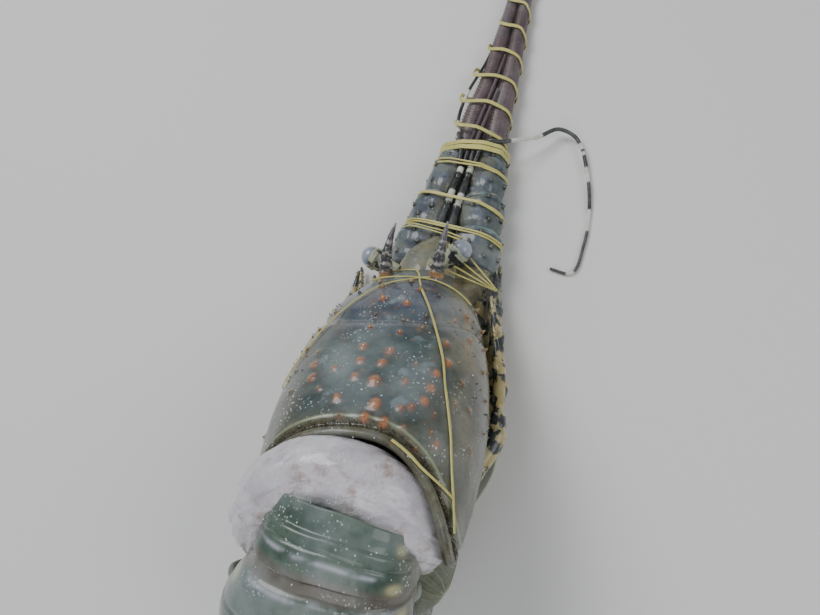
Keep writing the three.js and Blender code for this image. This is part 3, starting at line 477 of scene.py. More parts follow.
def carapace_colour(m):
    place = m.node("ShaderNodeTexCoord").outputs["Object"]
    back = pigment(m, (0.033, 0.062, 0.066), (0.088, 0.13, 0.118), (0.02, 0.026, 0.028), 48, 0.6)
    indigo = pigment(m, (0.028, 0.035, 0.10), (0.045, 0.08, 0.12), (0.01, 0.012, 0.03), 70)
    olive = pigment(m, (0.085, 0.09, 0.06), (0.20, 0.185, 0.115), (0.05, 0.04, 0.025), 62)
    colour = m.blend(m.maths("MULTIPLY", m.mark("front"), 0.8), back, indigo)
    shade = m.between(m.noise(place, 85, 3, 0.6), 0.50, 0.62)
    colour = m.blend(m.maths("MULTIPLY", shade, 0.55), colour, (0.075, 0.065, 0.05))
    pale = m.between(m.noise(place, 105, 2, 0.5), 0.62, 0.70)
    colour = m.blend(m.maths("MULTIPLY", pale, 0.6), colour, (0.24, 0.31, 0.33))
    colour = m.blend(m.maths("MULTIPLY", m.between(m.mark("flank"), 0.22, 0.85), 0.92), colour, olive)
    streak = m.node("ShaderNodeMapping", {"Vector": place, "Scale": (1.0, 0.3, 1.0)}).outputs[0]
    low_front = m.maths("MULTIPLY", m.mark("flank"), m.mark("ahead"))
    amber = m.maths("MULTIPLY", m.between(m.noise(streak, 130, 2), 0.55, 0.66), low_front)
    colour = m.blend(m.maths("MULTIPLY", amber, 0.8), colour, (0.36, 0.21, 0.06))
    band = m.ramp(m.maths("DIVIDE", m.mark("edge"), 14.0), [
        (0.0, (0.85, 0.85, 0.85)), (0.05, (0.9, 0.9, 0.9)), (0.46, (1, 1, 1)),
        (0.55, (0.45, 0.45, 0.45)), (0.95, (0, 0, 0))])
    hair = pigment(m, (0.085, 0.08, 0.04), (0.15, 0.14, 0.075), (0.03, 0.025, 0.015), 300, 0.8)
    colour = m.blend(band, colour, hair)
    lip = m.between(m.maths("ABSOLUTE", m.maths("SUBTRACT", m.mark("edge"), 7.2)), 0.75, 0.15)
    colour = m.blend(m.maths("MULTIPLY", lip, 0.75), colour, (0.30, 0.36, 0.20))
    freckle = m.node("ShaderNodeTexVoronoi", {"Vector": place, "Scale": 210.0}).outputs["Distance"]
    on_back = m.maths("SUBTRACT", 1.0, m.mark("flank"), True)
    freckle = m.maths("MULTIPLY", m.between(freckle, 0.24, 0.14), on_back)
    colour = m.blend(m.maths("MULTIPLY", freckle, 0.5), colour, (0.24, 0.12, 0.05))
    spot = m.maths("MULTIPLY", m.mark("spot"), m.between(m.noise(place, 700, 2), 0.2, 0.5), True)
    orange = m.ramp(m.mark("spot"), [
        (0.0, (0.16, 0.07, 0.04)), (0.5, (0.32, 0.10, 0.035)), (1.0, (0.50, 0.17, 0.045))])
    colour = m.blend(spot, colour, orange)
    return m.blend(m.mark("dark_spot"), colour, (0.05, 0.012, 0.02))


shell_finish = wet_finish("glazed_shell", carapace_colour, film=0.34, crumbs=0.7)
fit(carapace, shell_finish, "shell", "carapace")


def spine_tree():
    """Spines on marked points: each point's lean and size turn and scale one cone."""
    tree, given, put = group_tree(
        "spines_on_points",
        [("Geometry", "NodeSocketGeometry", None), ("Slimness", FLOAT, 0.42), ("Sides", "NodeSocketInt", 7),
         ("Finish", "NodeSocketMaterial", None)],
        [("Geometry", "NodeSocketGeometry")], "GeometryNodeTree")
    g = Maker(tree)
    cone = g.node("GeometryNodeMeshCone", {
        "Vertices": given.outputs["Sides"], "Side Segments": 3, "Radius Top": 0.06,
        "Radius Bottom": given.outputs["Slimness"], "Depth": 1.0})
    lean = g.node("GeometryNodeInputNamedAttribute", {"Name": "lean"}, data_type="FLOAT_VECTOR")
    size = g.node("GeometryNodeInputNamedAttribute", {"Name": "size"}, data_type="FLOAT")
    turned = g.node("FunctionNodeAlignRotationToVector", {"Vector": lean.outputs["Attribute"]}, axis="Z")
    dots = g.node("GeometryNodeMeshToPoints", {"Mesh": given.outputs["Geometry"]})
    grown = g.node("GeometryNodeInstanceOnPoints", {
        "Points": dots.outputs["Points"], "Instance": cone.outputs["Mesh"],
        "Rotation": turned.outputs["Rotation"], "Scale": size.outputs["Attribute"]})
    real = g.node("GeometryNodeRealizeInstances", {"Geometry": grown.outputs["Instances"]})
    smooth = g.node("GeometryNodeSetShadeSmooth", {"Geometry": real.outputs["Geometry"]})
    done = g.node("GeometryNodeSetMaterial", {
        "Geometry": smooth.outputs["Geometry"], "Material": given.outputs["Finish"]})
    link(tree, done.outputs["Geometry"], put.inputs["Geometry"])
    return tree


SPINE_TREE = spine_tree()


def grown_piece(name, tree, source, values):
    """Runs a tree on a source mesh and keeps the result as a plain piece."""
    seedling = bpy.data.objects.new(name + "_seedling", source)
    scene.collection.objects.link(seedling)
    growth = seedling.modifiers.new("growth", "NODES")
    growth.node_group = tree
    for item in tree.interface.items_tree:
        if item.in_out == "INPUT" and item.name in values:
            growth[item.identifier] = values[item.name]
    bpy.context.view_layer.update()
    ready = seedling.evaluated_get(bpy.context.evaluated_depsgraph_get())
    mesh = bpy.data.meshes.new_from_object(ready)
    mesh.name = name
    bpy.data.objects.remove(seedling)
    piece = bpy.data.objects.new(name, mesh)
    scene.collection.objects.link(piece)
    return piece


def spines(name, places, leans, sizes, finish, slot, slimness=0.42, sides=7):
    """Spines in one piece: roots and leans in the room, in millimetres."""
    source = bpy.data.meshes.new(name + "_roots")
    places, leans = np.asarray(places, float), np.asarray(leans, float)
    source.from_pydata((places * MM).tolist(), [], [])
    lean = source.attributes.new("lean", "FLOAT_VECTOR", "POINT")
    lean.data.foreach_set("vector", leans.astype(np.float32).reshape(-1))
    size = source.attributes.new("size", "FLOAT", "POINT")
    size.data.foreach_set("value", (np.asarray(sizes, float) * MM).astype(np.float32))
    piece = grown_piece(name, SPINE_TREE, source, {"Slimness": slimness, "Sides": sides, "Finish": finish})
    return fit(piece, None, slot)


def barrel_normal(y, turn):
    out = on_barrel(y, turn, -1.0) - on_barrel(y, turn, 0.0)
    return out / np.linalg.norm(out)


def body_turn(vector):
    return (from_body([vector]) - from_body([(0, 0, 0)]))[0]


def shell_spine_colour(m):
    place = m.node("ShaderNodeTexCoord").outputs["Object"]
    return m.blend(m.between(m.noise(place, 300), 0.35, 0.65), (0.42, 0.14, 0.04), (0.60, 0.27, 0.09))


orange_spine = wet_finish("orange_spine", shell_spine_colour, film=0.1, crumbs=0.4)


def dark_spine_colour(m):
    place = m.node("ShaderNodeTexCoord").outputs["Object"]
    return m.blend(m.between(m.noise(place, 260), 0.35, 0.65), (0.03, 0.035, 0.035), (0.20, 0.19, 0.13))


dark_spine = wet_finish("dark_spine", dark_spine_colour, film=0.1, crumbs=0.3)


def amber_spine_colour(m):
    place = m.node("ShaderNodeTexCoord").outputs["Object"]
    return m.blend(m.between(m.noise(place, 300), 0.35, 0.65), (0.24, 0.16, 0.06), (0.40, 0.30, 0.13))


amber_spine = wet_finish("amber_spine", amber_spine_colour, film=0.2, crumbs=0.4)

kinds = {"orange": [], "dark": [], "amber": []}
for y, turn, kind in SPOTS:
    turn = math.radians(turn)
    height = (0.9 + 1.8 * (max(y, 0) / 100) ** 1.5) * (1.2 if kind == "B" else 0.95)
    out = barrel_normal(y, turn)
    root = on_barrel(y, turn, neck_groove(y, turn) - 0.4)
    finish = {"d": "dark", "y": "amber", "f": "amber"}.get(kind, "orange")
    kinds[finish].append((from_body([root])[0], body_turn(out + [0, 0.5, 0]), height))
draw = np.random.default_rng(11)
for k in range(150):
    y, turn = draw.uniform(30, 108), math.radians(draw.choice([-1, 1]) * draw.uniform(35, 112) + 90)
    root = on_barrel(y, turn, neck_groove(y, turn) + 0.05)
    near = min(np.linalg.norm(root - on_barrel(a, math.radians(b))) for a, b, _ in SPOTS)
    if near > 4:
        out = barrel_normal(y, turn)
        height = draw.uniform(0.6, 1.1)
        finish = "dark" if k % 3 else "amber"
        kinds[finish].append((from_body([root])[0], body_turn(out + [0, 0.6, 0]), height))
spines("carapace_orange_spines", *zip(*kinds["orange"]), orange_spine, "shell", 0.6, 10)
spines("carapace_amber_spines", *zip(*kinds["amber"]), amber_spine, "shell", 0.55, 10)
spines("carapace_dark_spines", *zip(*kinds["dark"]), dark_spine, "shell", 0.45, 9)

hair_places, hair_leans, hair_sizes = [], [], []
for _ in range(2600):
    turn = draw.uniform(math.radians(-10), math.radians(190))
    y = float(rear_margin(turn)) + draw.uniform(1.2, 7.0)
    out = barrel_normal(y, turn)
    hair_places.append(from_body([on_barrel(y, turn, 1.5)])[0])
    hair_leans.append(body_turn(out * 0.9 + [0, -1.0, 0] + draw.normal(0, 0.2, 3)))
    hair_sizes.append(draw.uniform(0.9, 2.0))


def hair_colour(m):
    place = m.node("ShaderNodeTexCoord").outputs["Object"]
    return m.blend(m.between(m.noise(place, 400), 0.35, 0.65), (0.07, 0.06, 0.03), (0.20, 0.17, 0.09))


hair_finish = wet_finish("groove_hair", hair_colour, film=0.1, crumbs=0.2, coat=0.2)
spines("margin_hair", hair_places, hair_leans, hair_sizes, hair_finish, "shell", 0.07, 3)

# Head block and mouth limbs
# Below the eyes the feelers' roots sit in a block of olive and pink-brown skin and shell. Its colours are
# painted paler than the skin's own: painted light over the shade that falls on the block.
# Two thick palps hang from the mouth behind it, and a grooved breastplate closes the belly.


def limb(line, across, upward, rows, sides, up=(0, 0, 1), relief=None):
    """Rings along a smooth line, with the share of length and the turn at each point."""
    line = np.asarray(line, float)
    run = np.append(0, np.cumsum(np.linalg.norm(np.diff(line, axis=0), axis=1)))
    s = np.linspace(0, 1, rows) if np.isscalar(rows) else np.asarray(rows)
    path = np.stack([size_along(run, line[:, k])(s * run[-1]) for k in range(3)], -1)
    ahead = np.gradient(path, axis=0)
    ahead /= np.linalg.norm(ahead, axis=1, keepdims=True) + 1e-9
    side = np.cross(ahead, np.asarray(up, float))
    side /= np.linalg.norm(side, axis=1, keepdims=True)
    top = np.cross(side, ahead)
    turn = (np.arange(sides) + 0.5) / sides * 2 * math.pi
    wide = size_along(run, across)(s * run[-1])[:, None]
    high = size_along(run, upward)(s * run[-1])[:, None]
    if relief is not None:
        extra = relief(s[:, None], turn[None, :], run[-1])
        wide, high = wide + extra, high + extra
    rings = (path[:, None] + side[:, None] * (wide * np.cos(turn))[..., None]
             + top[:, None] * (high * np.sin(turn))[..., None])
    return rings, np.broadcast_to(s[:, None], rings.shape[:2]), np.broadcast_to(turn, rings.shape[:2])


def on_limb(rings, s, turn):
    """The nearest point of a limb and its outward lean, at a share of its length and a turn."""
    row = int(round(s * (len(rings) - 1)))
    column = int(turn / (2 * math.pi) * rings.shape[1]) % rings.shape[1]
    out = rings[row, column] - rings[row].mean(0)
    return rings[row, column], out / np.linalg.norm(out)


def head_colour_painted_light(m):
    # Both tones are raised well above the skin's own olive: painted light that makes the shaded head block
    # and brow read lighter.
    skin_tone = pigment(m, (0.17, 0.165, 0.095), (0.32, 0.28, 0.15), (0.07, 0.055, 0.03), 90, 0.5)
    shell_tone_painted_light = pigment(m, (0.13, 0.15, 0.11), (0.40, 0.33, 0.13), (0.03, 0.04, 0.035), 110)
    place = m.node("ShaderNodeTexCoord").outputs["Object"]
    return m.blend(m.between(m.noise(place, 60, 3), 0.45, 0.55), skin_tone, shell_tone_painted_light)


head_finish_painted_light = wet_finish("head_skin_and_shell_painted_light", head_colour_painted_light, film=0.3, crumbs=0.5)
s, turn = np.meshgrid(np.linspace(0, 1, 44), np.linspace(0, 2 * math.pi, 120, endpoint=False), indexing="ij")
wide, shift, high = 24 + 3 * s, 11 * s, 15 - 3 * s
bulge = 0.6 * waves(s * 9, turn * 6, 21) - 1.2 * np.exp(-(((s - 0.55) / 0.06) ** 2)) * (np.sin(turn) > -0.3)
block = np.stack([
    shift + (wide + bulge) * rounded(np.cos(turn), 0.7), 84 + 20 * s,
    high - 0.7 + (high + bulge) * rounded(np.sin(turn), 0.7)], -1)
block[..., 2] = np.maximum(block[..., 2], 0)
fit(skin("head_block", block), head_finish_painted_light, "head_skin", "head_front")
BROW_LINE = [(3, 86, 29.5), (4.5, 97, 29), (7, 108, 27.5), (9.5, 118, 24)]


def brow_relief(s, turn, length):
    """A soft swell with one long furrow along the top."""
    furrow = 0.7 * np.exp(-(((np.cos(turn) - 0.05) / 0.10) ** 2)) * (np.sin(turn) > 0)
    return 0.5 * waves(s * 7, turn * 3, 31) - furrow


rings, _, _ = limb(BROW_LINE, [15, 15.5, 12.5, 5], [5.5, 5.8, 5, 3], 70, 90, relief=brow_relief)
fit(skin("brow_plate", rings), head_finish_painted_light, "head_skin")


def leg_colour(m):
    cream = pigment(m, (0.52, 0.42, 0.16), (0.62, 0.55, 0.30), (0.35, 0.22, 0.06), 120, 0.3)
    place = m.node("ShaderNodeTexCoord").outputs["Object"]
    blotch = m.between(m.noise(place, 150, 3, 0.5), 0.50, 0.55)
    inky = m.blend(m.between(m.noise(place, 400), 0.4, 0.6), (0.014, 0.016, 0.02), (0.04, 0.05, 0.05))
    return m.blend(blotch, cream, inky)


leg_finish = wet_finish("leg_shell", leg_colour, film=0.15, crumbs=0.35)


def palp_relief(s, turn, length):
    """Two dents where the palp's joints are."""
    return -0.5 * np.exp(-(((s - 0.42) / 0.03) ** 2)) - 0.4 * np.exp(-(((s - 0.75) / 0.03) ** 2))


palps = []
for away in (-1, 1):
    line = [(6 * away, 51, 10.5), (7.5 * away, 62, 6.5), (7 * away, 66, 5), (5 * away, 82, 3.2)]
    rings, _, _ = limb(line, [3.6, 3.8, 3.2, 1.6], [3.4, 3.4, 2.8, 1.6], 60, 24, relief=palp_relief)
    rings[..., 2] = np.maximum(rings[..., 2], 0)
    palps.append(skin("palp", rings))
rings, _, _ = limb([(-7, 58, 8), (0, 58, 8.4), (7, 58, 8)], [2.4, 2.6, 2.4], [2.4, 2.6, 2.4], 20, 20)
palps.append(skin("palp_bridge", rings))


def joined(name, pieces):
    """One piece of several, left in place."""
    mesh = bmesh.new()
    for piece in pieces:
        mesh.from_mesh(piece.data)
        bpy.data.objects.remove(piece)
    whole = bpy.data.meshes.new(name)
    mesh.to_mesh(whole)
    mesh.free()
    made = bpy.data.objects.new(name, whole)
    scene.collection.objects.link(made)
    return made


fit(joined("mouth_palps", palps), leg_finish, "leg", "mouth_limbs")


def belly_colour(m):
    return pigment(m, (0.42, 0.38, 0.20), (0.22, 0.22, 0.14), (0.10, 0.08, 0.04), 80)


belly_finish = wet_finish("belly_shell", belly_colour, film=0.2, crumbs=0.3)
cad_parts["sternum"].data.materials.clear()
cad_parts["sternum"].data.materials.append(belly_finish)

# Horns
# Two curved horns guard the eyes. They are hard shell, dark with worn pale bands, with an
# orange root, a row of small teeth below and a blunt pale tip.


def horn_colour(m):
    place = m.node("ShaderNodeTexCoord").outputs["Object"]
    uneven = m.maths("MULTIPLY", m.noise(place, 260, 3), 0.16)
    s = m.maths("ADD", m.mark("share"), m.maths("SUBTRACT", uneven, 0.08))
    return m.ramp(s, [
        (0.0, (0.50, 0.20, 0.05)), (0.10, (0.52, 0.26, 0.08)), (0.17, (0.06, 0.05, 0.04)),
        (0.24, (0.025, 0.025, 0.03)), (0.28, (0.36, 0.33, 0.28)), (0.31, (0.03, 0.03, 0.035)),
        (0.42, (0.03, 0.03, 0.035)), (0.46, (0.40, 0.37, 0.32)), (0.49, (0.04, 0.04, 0.045)),
        (0.60, (0.045, 0.04, 0.045)), (0.64, (0.34, 0.31, 0.29)), (0.68, (0.05, 0.045, 0.05)),
        (0.88, (0.13, 0.11, 0.12)), (1.0, (0.34, 0.31, 0.30))])


horn_finish = wet_finish("horn_shell", horn_colour, film=0.15, crumbs=0.3, coat=0.4)
HORN_RADII = [4.0, 3.3, 2.8, 2.3, 1.75, 1.15, 0.45]
HORN_TEETH = {0.2: 2.0, 0.34: 1.9, 0.48: 1.6, 0.62: 1.3, 0.74: 1.0}


def horn_wrinkles(s, turn, length):
    """Fine rings and an uneven swell, which fade towards the tip."""
    return (0.22 * np.sin(s * 52 + 0.9 * np.sin(turn)) + 0.38 * waves(s * 22, turn * 3, 5)) * (1.05 - s)


for side, away in (("left", -1), ("right", 1)):
    root = from_body([(12.5 * away, 107, -12)])[0]
    middle, tip = root + (1.5 * away + 1.5, 13, 8), root + (0.5 * away + 5, 27, 9)
    bend = [(1 - t) ** 2 * root + 2 * t * (1 - t) * middle + t * t * tip for t in np.linspace(0, 1, 7)]
    rings, share, _ = limb(bend, HORN_RADII, HORN_RADII, 90, 36, relief=horn_wrinkles)
    fit(skin(f"horn_shell_{side}", rings, {"share": share}), horn_finish, "horn", f"horn_{side}")
    facing = (math.pi if side == "right" else 0) - 0.35 * away
    places, leans = zip(*[on_limb(rings, s, facing) for s in HORN_TEETH])
    leans = np.array(leans) + (0, 0.8, 0)
    sizes = list(HORN_TEETH.values())
    spines(f"horn_teeth_{side}", np.array(places), leans, sizes, dark_spine, "horn", 0.35)

# Eyes
# Each eye is a glossy pale globe on a short stalk. A cream collar with dark blotches holds
# the globe, and its lower rim is shaded by a dark crescent.
EYES = {"left": (-23.5, 103.5, 35), "right": (23, 106.5, 35)}
STALK_ROOTS = {"left": (-10, 97, 31), "right": (10, 98, 31)}
EYE_RADIUS = 5.4


def globe_colour(m):
    place = m.node("ShaderNodeTexCoord").outputs["Object"]
    cell = m.node("ShaderNodeTexVoronoi", {"Vector": place, "Scale": 2300.0}).outputs["Distance"]
    base = m.blend(m.between(m.noise(place, 130, 2), 0.35, 0.65), (0.26, 0.32, 0.40), (0.42, 0.48, 0.55))
    base = m.blend(m.maths("MULTIPLY", m.between(cell, 0.2, 0.7), 0.25), base, (0.12, 0.14, 0.20))
    return m.blend(m.between(m.mark("collar"), 0.42, 0.78), base, (0.015, 0.018, 0.022))


globe_finish = wet_finish("eye_globe", globe_colour, film=0.12, crumbs=0.1, grain=0.2, bump=0.08, coat=1.0)


def stalk_colour(m):
    place = m.node("ShaderNodeTexCoord").outputs["Object"]
    cream = pigment(m, (0.55, 0.54, 0.34), (0.42, 0.47, 0.36), (0.20, 0.20, 0.12), 160, 0.3)
    return m.blend(m.between(m.noise(place, 170, 2), 0.50, 0.55), cream, (0.02, 0.022, 0.022))


def stalk_lip(s, turn, length):
    """An uneven swell, with a thick lip where the stalk meets the globe."""
    return 0.5 * waves(s * 6, turn * 3, 8) + 0.9 * np.exp(-(((s - 0.95) / 0.06) ** 2))


stalk_finish = wet_finish("eye_stalk", stalk_colour, film=0.1, crumbs=0.25)
for side in ("left", "right"):
    centre, root = np.array(EYES[side]), np.array(STALK_ROOTS[side])
    axis = (centre - root) / np.linalg.norm(centre - root)
    from_pole = np.linspace(0.02, math.pi - 0.02, 48)
    round_axis = np.linspace(0, 2 * math.pi, 72, endpoint=False)
    v, u = np.meshgrid(from_pole, round_axis, indexing="ij")
    cross = np.cross(axis, (0, 0, 1.0))
    cross /= np.linalg.norm(cross)
    upward = np.cross(cross, axis)
    unit = (axis * np.cos(v)[..., None] + cross * (np.sin(v) * np.cos(u))[..., None]
            + upward * (np.sin(v) * np.sin(u))[..., None])
    oval = EYE_RADIUS * (1 - 0.04 * np.cos(v) ** 2)
    globe = skin(f"eye_globe_{side}", centre + unit * oval[..., None], {"collar": v / math.pi})
    fit(globe, globe_finish, "eye", f"eye_{side}")
    line = [root + (centre - root) * t for t in (0, 0.3, 0.6, 0.84)]
    rings, _, _ = limb(line, [3.4, 3.6, 5.0, 5.6], [3.2, 3.4, 4.8, 5.5], 44, 48, relief=stalk_lip)
    fit(skin(f"eye_stalk_{side}", rings), stalk_finish, "eye")
    edge = math.pi * (0.50 + 0.07 * waves(np.cos(u[0]) * 2.2, np.sin(u[0]) * 2.2, 12))
    out_part, back_part = np.linspace(1, 0, 26)[:, None], np.linspace(0, 1, 26)[:, None]
    depth = 0.9 * math.pi - edge
    polar = np.concatenate([edge + depth * out_part, edge + depth * back_part])
    thick = EYE_RADIUS + np.concatenate([0.35 + 0.75 * np.sin(out_part * 2.6), np.full((26, 1), 0.06)])
    around_it = np.broadcast_to(u[0], polar.shape)
    bowl = (axis * np.cos(polar)[..., None] + cross * (np.sin(polar) * np.cos(around_it))[..., None]
            + upward * (np.sin(polar) * np.sin(around_it))[..., None])
    fit(skin(f"eye_collar_{side}", centre + bowl * thick[..., None]), stalk_finish, "eye")

# Feeler joints
# Each long feeler starts with three thick joints of blue-grey shell. Dark spines with pale
# points stand along them, the ends are turquoise and cream, and the inner side is olive.
ROOTS = {"left": (-8, 104.5, 15.5), "right": (25, 103, 15.5)}
TIPS = {"left": (12.5, 180, 11.5), "right": (31.5, 178, 11.5)}
JOINTS = [
    ("base", 0, 0.3, [13, 13.3, 12.6], [13, 13, 12.2]),
    ("middle", 0.3, 0.6, [11.8, 12, 10.9], [11.4, 11.6, 10.6]),
    ("tip", 0.6, 1, [10.3, 10.2, 8.9], [10, 10, 8.6]),
]


def joint_colour(m):
    blue = pigment(m, (0.045, 0.062, 0.075), (0.135, 0.155, 0.20), (0.02, 0.025, 0.03), 80, 0.8)
    olive = pigment(m, (0.10, 0.105, 0.075), (0.20, 0.19, 0.12), (0.03, 0.03, 0.02), 90)
    place = m.node("ShaderNodeTexCoord").outputs["Object"]
    colour = m.blend(m.between(m.mark("inner"), 0.15, 0.7), blue, olive)
    smear = m.between(m.noise(place, 75, 4, 0.65), 0.50, 0.60)
    colour = m.blend(m.maths("MULTIPLY", smear, 0.8), colour, (0.13, 0.12, 0.075))
    clear = m.between(m.noise(place, 115, 3, 0.6), 0.56, 0.66)
    colour = m.blend(m.maths("MULTIPLY", clear, 0.6), colour, (0.27, 0.31, 0.38))
    colour = m.blend(m.maths("MULTIPLY", m.mark("outer"), 0.7), colour, (0.075, 0.115, 0.105))
    rim = m.maths("MULTIPLY", m.mark("rim"), m.between(m.noise(place, 130, 2), 0.42, 0.6))
    colour = m.blend(m.maths("MULTIPLY", rim, 0.8), colour, (0.30, 0.48, 0.44))
    cream = m.maths("MULTIPLY", m.mark("rim"), m.between(m.noise(place, 95, 1), 0.56, 0.62))
    colour = m.blend(m.maths("MULTIPLY", cream, 0.9), colour, (0.55, 0.52, 0.38))
    return m.blend(m.mark("dark_spot"), colour, (0.012, 0.018, 0.018))


# Seats of the spines: share of the joint's length and turn, where turn 0 is the right side
SEATS = [(0.2, 1.1), (0.26, 0.2), (0.5, 0.7), (0.52, 1.7), (0.74, 0.1), (0.8, 1.3), (0.78, 2.3), (0.4, 2.9)]


def joint_folds(s, turn, length):
    """Five flat sides, a groove near the far end and a low rim beyond it."""
    sides = 0.45 * np.cos(5 * turn) * np.sin(math.pi * s)
    groove = 0.9 * np.exp(-(((s - 0.8) / 0.025) ** 2)) * (np.sin(turn) > -0.5)
    return 0.5 * waves(s * 6, turn * 4, 13) + sides - groove + 0.5 * np.exp(-(((s - 0.88) / 0.04) ** 2))


joint_finish = wet_finish("feeler_joint_shell", joint_colour, film=0.35, crumbs=0.5)
spine_places, spine_leans, spine_sizes = [], [], []
draw = np.random.default_rng(29)
for side in ("left", "right"):
    root, tip = np.array(ROOTS[side], float), np.array(TIPS[side], float)
    ahead = (tip - root) / np.linalg.norm(tip - root)
    for name, start, end, wide, high in JOINTS:
        first, last = root + (tip - root) * start + ahead * 0.15, root + (tip - root) * end - ahead * 0.15
        line = [first + (last - first) * t for t in (0, 0.12, 0.5, 0.88, 1)]
        bulge = np.array([0.86, 1, 1, 1.02, 0.9])
        pick = [0, 0, 1, 2, 2]
        across, upward = np.array(wide)[pick] * bulge, np.array(high)[pick] * bulge
        rings, share, turn = limb(line, across, upward, 90, 108, relief=joint_folds)
        dark = np.zeros(share.shape)
        for along, around_it in SEATS:
            along, around_it = along + draw.uniform(-0.04, 0.04), around_it + draw.uniform(-0.15, 0.15)
            if side == "left":
                around_it = math.pi - around_it
            point, out = on_limb(rings, along, around_it % (2 * math.pi))
            gap = np.linalg.norm(rings - point, axis=-1)
            dark = np.maximum(dark, 1 / (1 + np.exp((gap - 2.0) / 0.35)))
            spine_places.append(point - out * 0.3)
            spine_leans.append(out + ahead * 1.1)
            spine_sizes.append(draw.uniform(1.7, 2.8))
        facing = np.cos(turn - (0 if side == "left" else math.pi))
        piece = skin(f"feeler_{side}_{name}", rings, {
            "inner": np.clip(facing, 0, 1), "outer": np.clip(-facing, 0, 1), "dark_spot": dark,
            "rim": np.clip(1 - np.abs(share - 0.92) / 0.12, 0, 1)})
        fit(piece, joint_finish, "feeler_joint", f"antenna_{side}_{name}")
spines("feeler_joint_spines", spine_places, spine_leans, spine_sizes, dark_spine, "feeler_joint", 0.5, 10)

# Long feelers
# The two whips are horny and ringed like a rasp, mauve-brown near the head and nearly black
# at the end. Short stiff bristles stand in rows along both sides.
WHIP_Y = [181, 212, 228, 264, 294, 360, 440, 540]
bundle_x = size_along(WHIP_Y, [23.5, 28, 31.5, 37, 41.5, 49, 56, 62])
whip_radius = size_along(WHIP_Y, [7.7, 6.8, 6, 4.8, 3.9, 3, 2.2, 1.1])


def whip_point(side, y):
    radius = whip_radius(y)
    away = -1 if side == "left" else 1
    share = np.clip((470 - y) / 70, 0, 1)
    lift = 1.7 * share * share * (3 - 2 * share)
    return np.stack([bundle_x(y) + away * (radius + 0.3), y, radius + lift - 0.15 * (1 - lift / 1.7)], -1)


def whip_colour(m):
    near = pigment(m, (0.17, 0.105, 0.12), (0.24, 0.16, 0.165), (0.05, 0.03, 0.035), 130)
    far = pigment(m, (0.055, 0.045, 0.05), (0.09, 0.075, 0.08), (0.02, 0.016, 0.018), 130)
    colour = m.blend(m.between(m.mark("share"), 0.1, 0.8), near, far)
    colour = m.blend(m.maths("MULTIPLY", m.mark("stripe"), 0.45), colour, (0.38, 0.31, 0.28))
    return m.blend(m.maths("MULTIPLY", m.mark("valley"), 0.55), colour, (0.035, 0.022, 0.025))


whip_finish = wet_finish("feeler_whip", whip_colour, film=0.2, crumbs=0.25, coat=0.3)
bristle_places, bristle_leans, bristle_sizes = [], [], []
for side in ("left", "right"):
    ring_y, y = [], float(WHIP_Y[0])
    while y < WHIP_Y[-1]:
        pitch = 1.05 + 0.25 * whip_radius(y) / 6
        ring_y += [y, y + 0.35 * pitch, y + 0.7 * pitch, y + 0.85 * pitch]
        y += pitch
    ring_y = np.clip(np.array(ring_y), WHIP_Y[0], WHIP_Y[-1])
    phase = np.tile([0.0, 0.35, 1.0, 0.35], len(ring_y) // 4)
    centre, radius = whip_point(side, ring_y), whip_radius(ring_y)
    turn = np.linspace(0, 2 * math.pi, 28, endpoint=False)
    size = radius * (0.955 + 0.045 * phase)
    across, upward = np.cos(turn) * size[:, None], np.sin(turn) * size[:, None]
    rings = centre[:, None] + np.stack([across, np.zeros_like(across), upward], -1)
    rings[..., 2] = np.maximum(rings[..., 2], 0)
    share = (ring_y - WHIP_Y[0]) / (WHIP_Y[-1] - WHIP_Y[0])
    piece = skin(f"long_feeler_{side}", rings, {
        "share": share[:, None], "valley": 1 - phase[:, None],
        "stripe": np.clip(np.cos(3 * turn + 0.4), 0, 1)[None, :] ** 4})
    fit(piece, whip_finish, "feeler_whip", f"flagellum_{side}_near", f"flagellum_{side}_far")
    for y in np.arange(184, 530, 2.3):
        for around_it in (0.35, math.pi - 0.35, 1.2, math.pi - 1.2):
            out = np.array([math.cos(around_it), 0, math.sin(around_it)])
            bristle_places.append(whip_point(side, y) + out * whip_radius(y) * 0.97)
            bristle_leans.append(out + (0, 1.3, 0))
            bristle_sizes.append(0.5 + 0.12 * whip_radius(y))
spines("feeler_bristles", bristle_places, bristle_leans, bristle_sizes, dark_spine, "feeler_whip", 0.3, 4)

# Small feelers
# Two jointed stems lie in the groove between the long feelers and end in thin soft whips,
# black with clean white bands. One whip loops out to the right on the table.
STEMS = {
    "left": [(3.6, 103, 26), (9.5, 134, 23.6), (16.4, 165, 20.6)],
    "right": [(11, 103, 26), (15.6, 134, 23.6), (21.9, 165, 20.6)],
}
WHIPS = {
    "left_outer": [(15.2, 166, 21.6), (15.6, 180, 21.4), (12.8, 190, 18.5), (11.2, 203, 14.5),
                   (15.2, 225, 11.6), (22.6, 244, 9.6), (28.6, 262, 8)],
    "left_inner": [(17.8, 166, 21.6), (20.6, 180, 21.2), (24.4, 200, 17.5), (29.8, 222, 15), (36, 250, 12)],
    "right_inner": [(21, 166, 21.6), (23.6, 180, 21.4), (27.8, 200, 17.8), (33.2, 222, 15.2)],
    "right_outer": [(23.4, 166, 21.6), (28.4, 178, 22.4), (40.3, 183, 17.6), (56.8, 190.4, 10),
                    (68.8, 197, 7), (77, 193, 5), (81.5, 184.3, 3.6)],
    "right_loop": [(81.8, 183.8, 3.5), (84.7, 160.6, 2.6), (84.7, 143.6, 1.6), (82.1, 126, 1.4),
                   (75, 109, 1.4), (64.7, 112, 1.4)],
}
# White bands: shares of each length between which the shell is white
WHITE = {
    "left": [(0.62, 0.75), (0.93, 1.0)], "right": [(0.56, 0.70), (0.92, 1.0)],
    "left_outer": [(0.24, 0.36), (0.50, 0.62)], "left_inner": [], "right_inner": [],
    "right_outer": [(0.36, 0.62), (0.94, 1.0)],
    "right_loop": [(0.0, 0.04), (0.12, 0.24), (0.42, 0.58), (0.84, 0.91)],
}
STEM_RADII = (2.2, 1.8)
